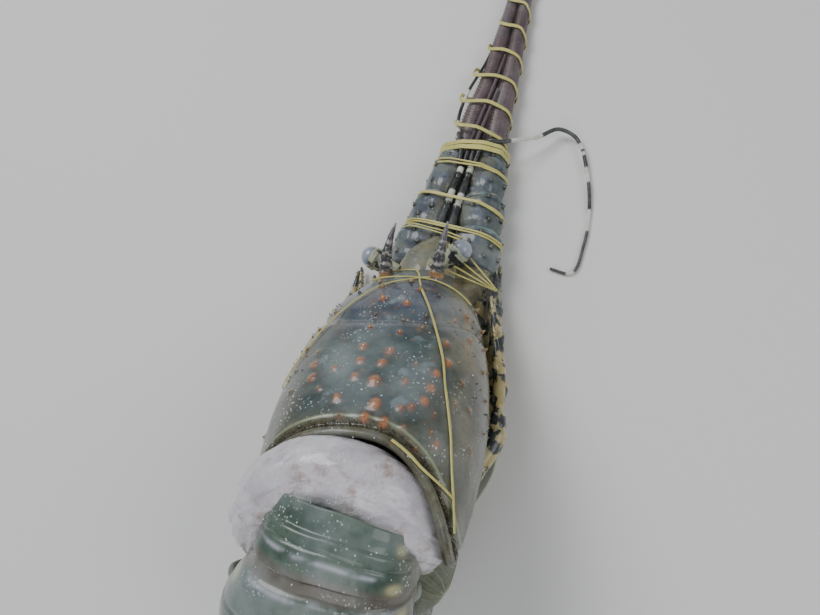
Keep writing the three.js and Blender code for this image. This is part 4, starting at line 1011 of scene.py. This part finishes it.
# First and last radius of each whip, where it isn't the usual one
WHIP_RADII = {"right_outer": (1.3, 1.1), "right_loop": (1.1, 0.75)}
USUAL_WHIP = (1.3, 0.75)
WHIP_RING = 0.9


def stem_knuckles(s, turn, length):
    """Two waists where the stem's joints are, and a low knuckle before the first."""
    first, second = np.exp(-(((s - 0.6) / 0.012) ** 2)), np.exp(-(((s - 0.88) / 0.012) ** 2))
    return -0.5 * first - 0.5 * second + 0.25 * np.exp(-(((s - 0.57) / 0.02) ** 2))


def whip_ringing(s, turn, length):
    return 0.06 * np.sin(s * length / WHIP_RING * 2 * math.pi)


def small_feeler_colour(m):
    place = m.node("ShaderNodeTexCoord").outputs["Object"]
    dark = m.blend(m.between(m.noise(place, 300), 0.4, 0.6), (0.012, 0.014, 0.016), (0.06, 0.06, 0.055))
    pale = m.blend(m.between(m.noise(place, 260), 0.4, 0.6), (0.70, 0.70, 0.60), (0.85, 0.85, 0.80))
    dark = m.blend(m.mark("tucked"), dark, (0.13, 0.085, 0.095))
    return m.blend(m.mark("white"), dark, pale)


small_feeler_finish = wet_finish("small_feeler_shell", small_feeler_colour, film=0.1, crumbs=0.2)
for name, path in {**STEMS, **WHIPS}.items():
    stem = name in STEMS
    count = len(path)
    ends = STEM_RADII if stem else WHIP_RADII.get(name, USUAL_WHIP)
    radii = np.linspace(*ends, count)
    knuckle = stem_knuckles if stem else whip_ringing
    rings, share, _ = limb(path, radii, radii, 120 if stem else 420, 18, (0, 0.1, 1), knuckle)
    rings[..., 2] = np.maximum(rings[..., 2], 0)
    white = np.zeros(share.shape)
    for low, high in WHITE[name]:
        band = np.clip((share - low) / 0.012, 0, 1) * np.clip((high - share) / 0.012, 0, 1)
        white = np.maximum(white, band)
    tucked = 0.85 * np.clip(share * 4 - 0.6, 0, 1) if "inner" in name else 0.0
    piece = skin(f"small_feeler_{name}", rings, {"white": white, "tucked": tucked})
    fit(piece, small_feeler_finish, "small_feeler", f"antennule_{name}_stem" if stem else f"antennule_{name}")

# Legs
# Five pairs of walking legs are drawn forward along the flanks. Their shell is cream and
# yellow with inky blotches, with a waist at each joint and a bristly pointed toe.
LEGS = [
    (84, (28, 76, 5.6), (29, 92, 5.2), (31, 107, 4.6), 5.2),
    (68, (36, 66, 6.2), (37, 88, 5.4), (39, 112, 5), 4.8),
    (52, (40, 52, 14.8), (39, 82, 14.2), (37.5, 106, 13), 4.7),
    (36, (43.5, 38, 23.8), (41.5, 66, 23), (37, 88, 22), 4.5),
    (20, (45, 14, 33.5), (44.5, 44, 32.5), (40, 70, 31), 4.2),
]
LEG_SCALE = np.array([1.05, 0.95, 1.05, 1, 1.02, 0.78, 0.68, 0.7, 0.56, 0.14])


def leg_relief(s, turn, length):
    waist = sum(np.exp(-(((s - place) / 0.012) ** 2)) for place in (0.13, 0.47, 0.56, 0.80))
    swell = sum(np.exp(-(((s - place) / 0.02) ** 2)) for place in (0.44, 0.53, 0.77))
    return -0.7 * waist + 0.35 * swell + 0.15 * waves(s * 30, turn * 3, 17)


hair_places, hair_leans, hair_sizes = [], [], []
draw = np.random.default_rng(41)
for side, away in (("left", -1), ("right", 1)):
    for number, (root_y, knee, wrist, toe, thick) in enumerate(LEGS, 1):
        mirror = np.array([away, 1, 1])
        root = from_body([(19.6 * away, root_y, belly_height(root_y) + 3)])[0]
        out = root + (8 * away, -1, -2.5)
        knee, wrist, toe = np.array(knee) * mirror, np.array(wrist) * mirror, np.array(toe) * mirror
        thigh = out + (knee - out) * 0.55
        line = [root, out, thigh, knee + (thigh - knee) * 0.2,
                knee + (wrist - knee) * 0.12, knee + (wrist - knee) * 0.3,
                knee + (wrist - knee) * 0.88, wrist + (toe - wrist) * 0.06, wrist + (toe - wrist) * 0.2, toe]
        radii = LEG_SCALE * thick
        rings, share, _ = limb(line, radii, radii, 150, 28, relief=leg_relief)
        rings[..., 2] = np.maximum(rings[..., 2], 0)
        fit(skin(f"walking_leg_{side}_{number}", rings), leg_finish, "leg", f"leg_{side}_{number}")
        for _ in range(70):
            along, around_it = draw.uniform(0.82, 0.985), draw.uniform(0, 2 * math.pi)
            point, lean = on_limb(rings, along, around_it)
            if point[2] > 0.8:
                hair_places.append(point)
                hair_leans.append(lean + (0, 1.5, 0.1))
                hair_sizes.append(draw.uniform(0.7, 1.4))
spines("toe_bristles", hair_places, hair_leans, hair_sizes, dark_spine, "leg", 0.14, 4)

# Tail
# Six rings of green shell overlap down the curled tail. The front part of each slides under
# the ring before it and is smooth and brown-grey; a pale line marks where the plate starts.
TAIL_FIRST, TAIL_LAST = 91, 268
TAIL_LENGTHS = [24, 34, 34, 32, 28, 26]
thickness_at = size_along([95, 150, 200, 235, 268], [42, 41, 36, 31, 25])
tail_half_width = size_along([95, 108, 122, 135, 180, 225, 268], [27.5, 29, 33, 35, 33, 29, 25])
tail_sway = size_along([95, 108, 135, 180, 225, 268], [-2, -4, -12, -15, -9, -3])
ring_ends = np.append(0, np.cumsum(TAIL_LENGTHS))
tail_angles = TAIL_FIRST + (TAIL_LAST - TAIL_FIRST) * ring_ends / sum(TAIL_LENGTHS)


def tail_point(across, degrees, depth, nudge=0.0):
    angle = np.radians(degrees)
    return np.stack(np.broadcast_arrays(
        across + tail_sway(degrees),
        -24 + (62 - depth) * np.cos(angle) - nudge * np.sin(angle),
        54 + (54 - depth) * np.sin(angle) + nudge * np.cos(angle)), -1)


def tail_colour(m):
    green = pigment(m, (0.045, 0.085, 0.062), (0.115, 0.165, 0.125), (0.02, 0.04, 0.03), 65)
    skin_tone = pigment(m, (0.11, 0.095, 0.07), (0.17, 0.15, 0.125), (0.06, 0.05, 0.04), 60)
    colour = m.blend(m.mark("plate"), skin_tone, green)
    place = m.node("ShaderNodeTexCoord").outputs["Object"]
    broken = m.between(m.noise(place, 130, 2), 0.36, 0.55)
    colour = m.blend(m.maths("MULTIPLY", m.mark("pale"), broken), colour, (0.46, 0.47, 0.52))
    colour = m.blend(m.mark("eyespot"), colour, (0.50, 0.48, 0.26))
    return m.blend(m.maths("MULTIPLY", m.mark("side"), 0.5), colour, (0.17, 0.15, 0.08))


tail_finish = wet_finish("tail_shell", tail_colour, film=0.45, crumbs=0.9, coat=0.7)


def hook_swell(s, turn, length):
    return 0.2 * waves(s * 9, turn * 3, 3)


hooks = []
for i in range(6):
    first, last = tail_angles[i], tail_angles[i + 1]
    front, plate_start = (0.06, 0.41) if i == 0 else (0, 0.15 if i == 1 else 0.41)
    near_step = plate_start + np.linspace(-0.05, 0.07, 16)
    part = np.unique(np.concatenate([np.linspace(front, 1, 44), near_step, np.linspace(0.95, 1, 6)]))
    part = part[part >= front]
    turn = np.linspace(0, 2 * math.pi, 150, endpoint=False)
    p, t = np.meshgrid(part, turn, indexing="ij")
    slant = 0.27 * np.clip((200 - first) / 110, 0, 1) * tail_half_width(first)
    degrees = first + (last - first) * p + slant * np.cos(t)
    plate = 1 / (1 + np.exp(-(p - plate_start) / 0.012))
    rounded_edge = 0.7 * np.clip((p - 0.97) / 0.03, 0, 1)
    raised = -0.4 + 1.4 * plate + 0.35 * (p - plate_start) * plate - rounded_edge
    lift = np.where(np.sin(t) > -0.2, raised, 0)
    groove = -0.7 * np.exp(-(((p - 0.62 - 0.03 * np.cos(2 * t)) / 0.018) ** 2)) * (np.sin(t) > 0.25)
    swell = 0.25 * waves(p * 7, t * 4, 60 + i)
    lift = lift + groove + swell
    half, width = thickness_at(degrees) / 2, tail_half_width(degrees)
    nudge = np.where(p == front, 0.15, np.where(p == 1, -0.15, 0))
    across = (width + lift * 0.8) * rounded(np.cos(t), 0.8)
    depth = half - (half + lift) * rounded(np.sin(t), 0.85)
    rings = tail_point(across, degrees, depth, nudge)
    rings[..., 2] = np.maximum(rings[..., 2], 0)
    up = np.clip(np.sin(t) * 2, 0, 1)
    along = ((p - 0.3) / 0.09) ** 2
    right_spot, left_spot = ((t - 0.42) / 0.13) ** 2, ((t - math.pi + 0.42) / 0.13) ** 2
    spot = np.maximum(np.exp(-along - right_spot), np.exp(-along - left_spot))
    if i == 0:
        spot = np.maximum(spot, np.exp(-(((p - 0.86) / 0.07) ** 2) - (((t - 0.62) / 0.12) ** 2)))
    pale_line = 0.72 if i == 0 else plate_start + 0.04
    piece = skin(f"tail_ring_shell_{i + 1}", rings, {
        "plate": (plate if i else 1 / (1 + np.exp((p - 0.9) / 0.02))) * up + (1 - up) * 0.4,
        "pale": np.exp(-(((p - pale_line) / 0.03) ** 2)) * np.clip(np.sin(t) * 1.6 - 0.3, 0, 1),
        "eyespot": np.clip(1.6 * spot, 0, 1), "side": np.clip(1 - np.sin(t) * 1.5, 0, 1)})
    fit(piece, tail_finish, "tail_shell", f"tail_ring_{i + 1}")
    for away in (-1, 1):
        middle = first + (last - first) * 0.62
        w, depth = tail_half_width(middle), thickness_at(middle) * 0.55
        line = [tail_point(away * (w - 5), middle, depth * 0.8),
                tail_point(away * (w + 0.8), middle, depth * 1.15),
                tail_point(away * w, first + (last - first) * 0.85, depth * 1.55)]
        rings, _, _ = limb(line, [2.4, 1.6, 0.5], [5, 3.2, 0.8], 40, 24, (0, 0.3, 1), hook_swell)
        rings[..., 2] = np.maximum(rings[..., 2], 0)
        hooks.append(skin("hook", rings, {"plate": 1, "pale": 0, "eyespot": 0, "side": 0.8}))
fit(joined("tail_side_hooks", hooks), tail_finish, "tail_shell")

# Neck roll
# Between carapace and tail the soft skin is swollen into one thick white roll. It is
# wrinkled, wet and faintly lilac, with pink-brown stains and a rim of ice crumbs.
ROLL_LINE = [(-33, -43, 67), (-37, -35, 78), (-34.5, -26, 88), (-26, -18, 94), (-13, -13, 96.5),
             (-1, -13.5, 96.5), (10, -17, 94.5), (19, -23.5, 89), (24, -31.5, 80), (23, -40, 69)]
ROLL_RADIUS = [5, 9.8, 11.2, 12, 12.4, 12.4, 12.2, 12, 10.8, 5.5]


def roll_colour(m):
    white = pigment(m, (0.60, 0.56, 0.61), (0.82, 0.80, 0.83), (0.50, 0.40, 0.42), 75, 0.35)
    place = m.node("ShaderNodeTexCoord").outputs["Object"]
    stain = m.between(m.noise(place, 95, 5, 0.7), 0.54, 0.68)
    colour = m.blend(m.maths("MULTIPLY", stain, 0.85), white, (0.42, 0.28, 0.23))
    return m.blend(m.maths("MULTIPLY", m.mark("end"), 0.55), colour, (0.40, 0.37, 0.28))


def roll_folds(s, turn, length):
    """Wide and fine wrinkles, and one deeper crease near the right end."""
    crease = 0.5 * np.exp(-(((s - 0.86) / 0.02) ** 2))
    return 0.8 * waves(s * 15, turn * 3.2, 77) + 0.3 * waves(s * 60, turn * 9, 78) - crease


roll_finish = wet_finish(
    "swollen_skin", roll_colour, film=0.15, crumbs=1.0, grain=0.8, bump=0.4, coat=0.8, flesh=0.25)
rings, share, _ = limb(ROLL_LINE, ROLL_RADIUS, ROLL_RADIUS, 190, 110, (0, 1, 0.5), roll_folds)
roll = skin("neck_roll_skin", rings, {"end": np.abs(share - 0.5) * 2 > 0.93})
fit(roll, roll_finish, "pale_skin", "neck_roll")

# Tail fan and swimming leaves
# Five thin blades are folded forward under the body and carry the model on the table. Thin
# leaves with cream edges hang inside the curl; the front right one shows beside the tail.


RIB_COUNT = 70.0


def blade_colour(m):
    green = pigment(m, (0.12, 0.14, 0.09), (0.20, 0.22, 0.14), (0.05, 0.05, 0.03), 120)
    ribs_across = m.maths("MULTIPLY", m.mark("across"), RIB_COUNT)
    rib = m.between(m.maths("SINE", ribs_across), 0.2, 0.9)
    colour = m.blend(m.maths("MULTIPLY", rib, 0.35), green, (0.30, 0.29, 0.16))
    return m.blend(m.mark("edge"), colour, (0.55, 0.50, 0.26))


blade_finish = wet_finish("thin_blade", blade_colour, film=0.35, crumbs=0.4, flesh=0.1)


def blade(name, line, across, thick, up, slot, node):
    """A thin ribbed blade with a pale edge."""
    rings, share, turn = limb(line, across, thick, 64, 96, up)
    middle = rings.mean(1, keepdims=True)
    side = rings[:, :1] - middle
    lateral = np.cos(turn)
    ribbed = 0.10 * np.sin(lateral * 70) * np.abs(np.sin(turn))
    out = (rings - middle) - lateral[..., None] * side
    rings = rings + out / (np.linalg.norm(out, axis=-1, keepdims=True) + 1e-6) * ribbed[..., None]
    rings[..., 2] = np.maximum(rings[..., 2], 0)
    edge = np.clip((np.abs(lateral) - 0.93) / 0.05, 0, 1) * (lateral > 0)
    edge = np.maximum(edge, np.clip((share - 0.97) / 0.03, 0, 1))
    fit(skin(name, rings, {"across": lateral, "edge": edge}), blade_finish, slot, node)


def fan_blade(name, node, root_x, tip_x, width, level, length):
    line = [(root_x + (tip_x - root_x) * s, -25 + length * s, level + 1.2) for s in (0, 0.35, 0.8, 1)]
    across = np.array([0.55, 0.9, 1, 0.7]) * width / 2
    blade(name, line, across, np.array([1, 1, 1, 0.7]) * 1.2, (0, 0, 1), "tail_fan", node)


fan_blade("fan_middle_blade", "telson", 0, 0, 26, -0.4, 50)
for side, away in (("left", -1), ("right", 1)):
    fan_blade(f"fan_inner_blade_{side}", f"fan_inner_{side}", 9 * away, 24 * away, 20, 1.9, 46)
    fan_blade(f"fan_outer_blade_{side}", f"fan_outer_{side}", 14 * away, 36 * away, 20, -0.4, 42)
LEAF_HALF_THICKNESS = 0.55
LEAVES = [
    (128, 20, (20, -13, -13), 38, (0.5, -0.3, 0.8)), (160, 14, (7, 14, -8), 14, (0.8, -0.3, 1)),
    (195, 13, (6, 16, 1), 13, (0.8, -0.3, 1)),
]
for side, away in (("left", -1), ("right", 1)):
    for number, (at, out, lean, width, tilt) in enumerate(LEAVES, 1):
        mirror = np.array([away, 1, 1])
        root = tail_point(out * away, at, thickness_at(at) - 1)
        line = [root + np.array(lean) * mirror * s for s in (0, 0.25, 0.6, 0.9, 1)]
        across = np.array([0.35, 0.85, 1, 0.6, 0.2]) * width / 2
        name, node = f"swim_leaf_{side}_{number}", f"leaf_{side}_{number}"
        blade(name, line, across, np.full(5, LEAF_HALF_THICKNESS), np.array(tilt) * mirror, "swim_leaf", node)

# Ties
# Flat split fibre, pale yellow, drawn tight round the feelers and over the back. Each tie is
# a few strands side by side, creased along the fibre, with short cut ends.


def tie_colour(m):
    run = m.node("ShaderNodeCombineXYZ", {"X": m.mark("run"), "Y": m.mark("across"), "Z": 0.0}).outputs[0]
    streak = m.node("ShaderNodeMapping", {"Vector": run, "Scale": (0.12, 5.0, 1.0)}).outputs[0]
    shade = m.between(m.noise(streak, 3.0, 4, 0.65), 0.3, 0.72)
    colour = m.ramp(shade, [(0.0, (0.40, 0.34, 0.06)), (0.42, (0.72, 0.65, 0.19)), (1.0, (0.90, 0.86, 0.40))])
    place = m.node("ShaderNodeTexCoord").outputs["Object"]
    worn = m.maths("MULTIPLY", m.between(m.noise(place, 150, 2), 0.5, 0.75), 0.35)
    return m.blend(worn, colour, (0.50, 0.48, 0.16))


tie_finish = wet_finish("split_fibre", tie_colour, film=0.05, crumbs=0.15, grain=0.9, bump=0.35, coat=0.15)


def ribbon(path, out, width, thick, closed=False, crease=0.12):
    """One strand along a path, its flat side facing out, ridged along the fibre."""
    path, out = np.asarray(path, float), np.asarray(out, float)
    ahead = (np.roll(path, -1, 0) - np.roll(path, 1, 0)) if closed else np.gradient(path, axis=0)
    ahead /= np.linalg.norm(ahead, axis=1, keepdims=True) + 1e-9
    side = np.cross(ahead, out)
    side /= np.linalg.norm(side, axis=1, keepdims=True) + 1e-9
    run = np.append(0, np.cumsum(np.linalg.norm(np.diff(path, axis=0), axis=1)))
    u = np.concatenate([np.linspace(-0.5, 0.5, 9), np.linspace(0.5, -0.5, 5)])
    v = np.concatenate([0.5 + crease * np.cos(np.linspace(-0.5, 0.5, 9) * 22), np.full(5, -0.5)])
    v[[0, 8]] = 0.15
    wide = width * (1 + 0.10 * np.sin(run / 5.3) + 0.05 * np.sin(run / 1.9))
    rings = (path[:, None] + side[:, None] * (wide[:, None] * u)[..., None]
             + out[:, None] * (thick * v)[None, :, None])
    shape = rings.shape[:2]
    marks = {"run": np.broadcast_to(run[:, None], shape), "across": np.broadcast_to(u, shape)}
    if closed:
        rings = np.concatenate([rings, rings[:1]])
        marks = {key: np.concatenate([value, value[:1]]) for key, value in marks.items()}
    strand = skin("strand", rings, marks, caps=not closed)
    if closed:
        seam = bmesh.new()
        seam.from_mesh(strand.data)
        bmesh.ops.remove_doubles(seam, verts=seam.verts, dist=1e-7)
        bmesh.ops.recalc_face_normals(seam, faces=seam.faces)
        seam.to_mesh(strand.data)
        seam.free()
    return strand


def outline_of(points):
    """The tight closed outline round flat points, turning left."""
    points = sorted(set(map(tuple, np.round(points, 4))))
    chains = []
    for run in (points, points[::-1]):
        chain = []
        for p in run:
            while len(chain) > 1 and ((chain[-1][0] - chain[-2][0]) * (p[1] - chain[-2][1])
                                      - (chain[-1][1] - chain[-2][1]) * (p[0] - chain[-2][0])) <= 0:
                chain.pop()
            chain.append(p)
        chains += chain[:-1]
    return np.array(chains)


def even_loop(points, count):
    closed = np.vstack([points, points[:1]])
    run = np.append(0, np.cumsum(np.linalg.norm(np.diff(closed, axis=0), axis=1)))
    at = np.linspace(0, run[-1], count, endpoint=False)
    return np.stack([np.interp(at, run, closed[:, k]) for k in range(closed.shape[1])], -1)


BANDS = {
    "tip": [(1, 180.5), (43, 174.5), [(-2.1, 1.5), (-0.75, 1.4), (0.65, 1.5), (2.0, 1.5)]],
    "third": [(1, 171), (43, 158.5), [(-0.9, 1.0), (0.7, 1.1)]],
    "second": [(-7, 150), (43, 134), [(-0.35, 1.35), (0.75, 0.8)]],
    "first": [(-14, 132), (42, 116.5), [(-0.9, 1.1), (0.75, 1.0)]],
}
draw = np.random.default_rng(53)
for name, (left, right, strands) in BANDS.items():
    left, right = np.array([*left, 0.0]), np.array([*right, 0.0])
    across = (right - left) / np.linalg.norm(right - left)
    normal = np.cross(across, (0, 0, 1.0))
    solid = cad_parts[f"tie_band_{name}"].data
    points = np.array([v.co for v in solid.vertices]) / MM
    flat = outline_of(np.stack([(points - left) @ across, points[:, 2]], -1))
    pieces = []
    for offset, width in strands:
        loop = even_loop(flat, 150)
        for _ in range(2):
            loop = (np.roll(loop, 1, 0) + 2 * loop + np.roll(loop, -1, 0)) / 4
        edge = np.roll(loop, -1, 0) - np.roll(loop, 1, 0)
        out_flat = np.stack([edge[:, 1], -edge[:, 0]], -1)
        out_flat /= np.linalg.norm(out_flat, axis=1, keepdims=True)
        loop = loop - out_flat * draw.uniform(0.25, 0.45)
        phase = draw.uniform(0, 2 * math.pi)
        drift = offset + 0.45 * np.sin(np.linspace(0, 2 * math.pi, 150, endpoint=False) + phase)
        path = left + across * loop[:, :1] + np.array([0, 0, 1.0]) * loop[:, 1:] + normal * drift[:, None]
        out = across * out_flat[:, :1] + np.array([0, 0, 1.0]) * out_flat[:, 1:]
        pieces.append(ribbon(path, out, width, 0.55, closed=True))
    fit(joined(f"feeler_tie_{name}", pieces), tie_finish, "tie", f"tie_band_{name}")

# the long winding round both whips
threads = []
for name in ("left_outer", "left_inner", "right_inner"):
    rings, _, _ = limb(WHIPS[name], np.ones(len(WHIPS[name])), np.ones(len(WHIPS[name])), 60, 4)
    threads.append(rings.mean(1))
TURNS, PER_TURN = 9, 40
path, out = [], []
for i in range(TURNS * PER_TURN + 1):
    around_it = (i / PER_TURN + 0.04) * 2 * math.pi
    y = 187 + 185 * i / (TURNS * PER_TURN) - 5 * math.cos(around_it)
    lean = np.array([math.cos(around_it), 0, math.sin(around_it)])
    rounds = [(whip_point(side, y), whip_radius(y - 3)) for side in ("left", "right")]
    rounds += [(np.array([p[0], y, p[2]]), 1.3) for line in threads for p in line[np.abs(line[:, 1] - y) < 4]]
    centre, radius = max(rounds, key=lambda one: one[0] @ lean + one[1])
    path.append(centre + lean * (radius + 1.0))
    out.append(lean)
path, out = np.array(path), np.array(out)
for _ in range(3):
    path[1:-1] = (path[:-2] + 2 * path[1:-1] + path[2:]) / 4
    out[1:-1] = (out[:-2] + 2 * out[1:-1] + out[2:]) / 4
strands = [ribbon(path + (0, d, 0), out, w, 0.55) for d, w in ((-0.45, 1.3), (0.6, 1.0))]
fit(joined("feeler_winding", strands), tie_finish, "tie", "tie_winding")

# strings over the back: place along the body and angle round it
STRINGS = [
    [(115, 88), (104, 82), (86, 76), (70, 68), (55, 61), (40, 54), (26, 49), (10, 40), (-3, 32),
     (-13, 22), (-20, 12)],
    [(-1.5, 70), (-5, 60), (-8.5, 50), (-10.5, 38), (-11.5, 24)],
    [(100, 118), (99.5, 100), (98.5, 82), (97, 65), (94, 47), (90, 30)],
    [(101, 72), (95, 86), (88, 99), (79, 107), (70, 114), (58, 123), (44, 134), (30, 146)],
    [(114, 118), (114.5, 104), (114, 92), (112, 84)],
]
# Four strings spread from one knot over the head: the pixel and the height of each far end
FAN_STARTS = [(446, 270, 38), (454, 266, 35), (462, 262, 32), (470, 258, 30.5)]
FAN_KNOT = (496, 291, 24)
FAN_SPREAD = 0.6
FAN_RISE = 2.5


def seen_at(across, down, height):
    """The point at a height that the camera sees at a pixel, in millimetres."""
    offset = (np.array([across, down]) - PICTURE_CENTRE) / FOCAL_PIXELS
    ray = LOOK + RIGHT * offset[0] + DOWN * offset[1]
    return CAMERA_AT / MM + ray * (height - CAMERA_AT[2] / MM) / ray[2]


def fan_string(across, down, height, number):
    """Five points from a far end to the knot, in steps of 0.1 mm, which rise between the two."""
    points = []
    for step in np.linspace(0, 1, 5):
        rise = FAN_RISE * math.sin(step * math.pi)
        points.append(seen_at(across + (FAN_KNOT[0] + FAN_SPREAD * number - across) * step,
                              down + (FAN_KNOT[1] - down) * step,
                              height + (FAN_KNOT[2] - height) * step + rise))
    return np.round(points, 1)


strands = []
for number, places in enumerate(STRINGS):
    places = np.array(places, float)
    run = np.arange(len(places))
    at = np.linspace(0, len(places) - 1, 14 * len(places))
    y, turn = size_along(run, places[:, 0])(at), np.radians(size_along(run, places[:, 1])(at))
    path = from_body(on_barrel(y, turn, -0.85))
    out = path - from_body(on_barrel(y, turn, 0.3))
    out /= np.linalg.norm(out, axis=1, keepdims=True)
    strands.append(ribbon(path, out, 1.0 if number in (0, 1) else 0.75, 0.5))
for ends in ([(-13.5, 127, 21), (-7, 124.5, 29.2), (4, 121, 30.6), (13, 118, 30.4), (21, 115, 29.6)],
             [(-13.5, 128.5, 21), (-7, 126, 29.2), (4, 122.6, 30.4), (14, 119.6, 30.0), (22, 116.5, 29.2)],
             *(fan_string(*start, number) for number, start in enumerate(FAN_STARTS))):
    rings, _, _ = limb(ends, np.ones(5), np.ones(5), 60, 4)
    strands.append(ribbon(rings.mean(1), np.tile((0, 0.1, 1.0), (60, 1)), 0.75, 0.45))
fit(joined("back_strings", strands), tie_finish, "tie", "tie_back")

# Ice crumbs
# The model is shown as it lay half thawed: small white crumbs of ice cling to the back, the
# swollen roll and the tail. Each crumb is a low lump, half sunk in the surface.


def crumb_tree():
    tree, given, put = group_tree(
        "ice_crumbs_on_faces",
        [("Geometry", "NodeSocketGeometry", None), ("Density", FLOAT, 100000.0), ("Smallest", FLOAT, 0.0002),
         ("Largest", FLOAT, 0.0006), ("Seed", "NodeSocketInt", 5), ("Finish", "NodeSocketMaterial", None)],
        [("Geometry", "NodeSocketGeometry")], "GeometryNodeTree")
    g = Maker(tree)
    thick = g.node("GeometryNodeInputNamedAttribute", {"Name": "icy"}, data_type="FLOAT")
    factors = {0: given.outputs["Density"], 1: thick.outputs["Attribute"]}
    density = g.node("ShaderNodeMath", factors, operation="MULTIPLY")
    dots = g.node("GeometryNodeDistributePointsOnFaces", {
        "Mesh": given.outputs["Geometry"], "Density": density.outputs[0], "Seed": given.outputs["Seed"]})
    lump = g.node("GeometryNodeMeshIcoSphere", {"Radius": 1.0, "Subdivisions": 1})
    sizes = {"Min": given.outputs["Smallest"], "Max": given.outputs["Largest"], "Seed": 3}
    size = g.node("FunctionNodeRandomValue", sizes, data_type="FLOAT")
    turns = {0: (0, 0, 0), 1: (6.28, 6.28, 6.28), "Seed": 9}
    spin = g.node("FunctionNodeRandomValue", turns, data_type="FLOAT_VECTOR")
    grown = g.node("GeometryNodeInstanceOnPoints", {
        "Points": dots.outputs["Points"], "Instance": lump.outputs["Mesh"],
        "Rotation": spin.outputs[0], "Scale": size.outputs[1]})
    real = g.node("GeometryNodeRealizeInstances", {"Geometry": grown.outputs["Instances"]})
    done = g.node("GeometryNodeSetMaterial", {
        "Geometry": real.outputs["Geometry"], "Material": given.outputs["Finish"]})
    link(tree, done.outputs["Geometry"], put.inputs["Geometry"])
    return tree


def ice_colour(m):
    place = m.node("ShaderNodeTexCoord").outputs["Object"]
    return m.blend(m.between(m.noise(place, 500), 0.35, 0.65), (0.78, 0.84, 0.88), (0.93, 0.95, 0.96))


ice_finish = wet_finish("ice", ice_colour, film=0, crumbs=0, grain=0.5, coat=0.5, flesh=0.2)
CRUMB_TREE = crumb_tree()
ICY = [("carapace_shell", "shell", 30000.0), ("neck_roll_skin", "pale_skin", 60000.0),
       ("tail_ring_shell_1", "tail_shell", 60000.0),
       ("tail_ring_shell_2", "tail_shell", 50000.0), ("tail_ring_shell_3", "tail_shell", 20000.0)]
for number, (name, slot, density) in enumerate(ICY):
    source = bpy.data.objects[name].data.copy()
    icy = source.attributes.new("icy", "FLOAT", "POINT")
    points = np.array([v.co for v in source.vertices]) / MM
    normals = np.array([v.normal for v in source.vertices])
    patches = np.clip(0.5 + waves(points[:, 0] / 9, points[:, 1] / 9, 90 + number), 0, 1)
    thick = np.clip(normals[:, 2] * 1.3 - 0.3, 0, 1) * patches**2
    icy.data.foreach_set("value", thick.astype(np.float32))
    piece = grown_piece(f"ice_crumbs_{name}", CRUMB_TREE, source, {
        "Density": density, "Smallest": 0.00012, "Largest": 0.0004, "Seed": 5 + number, "Finish": ice_finish})
    fit(piece, None, slot)
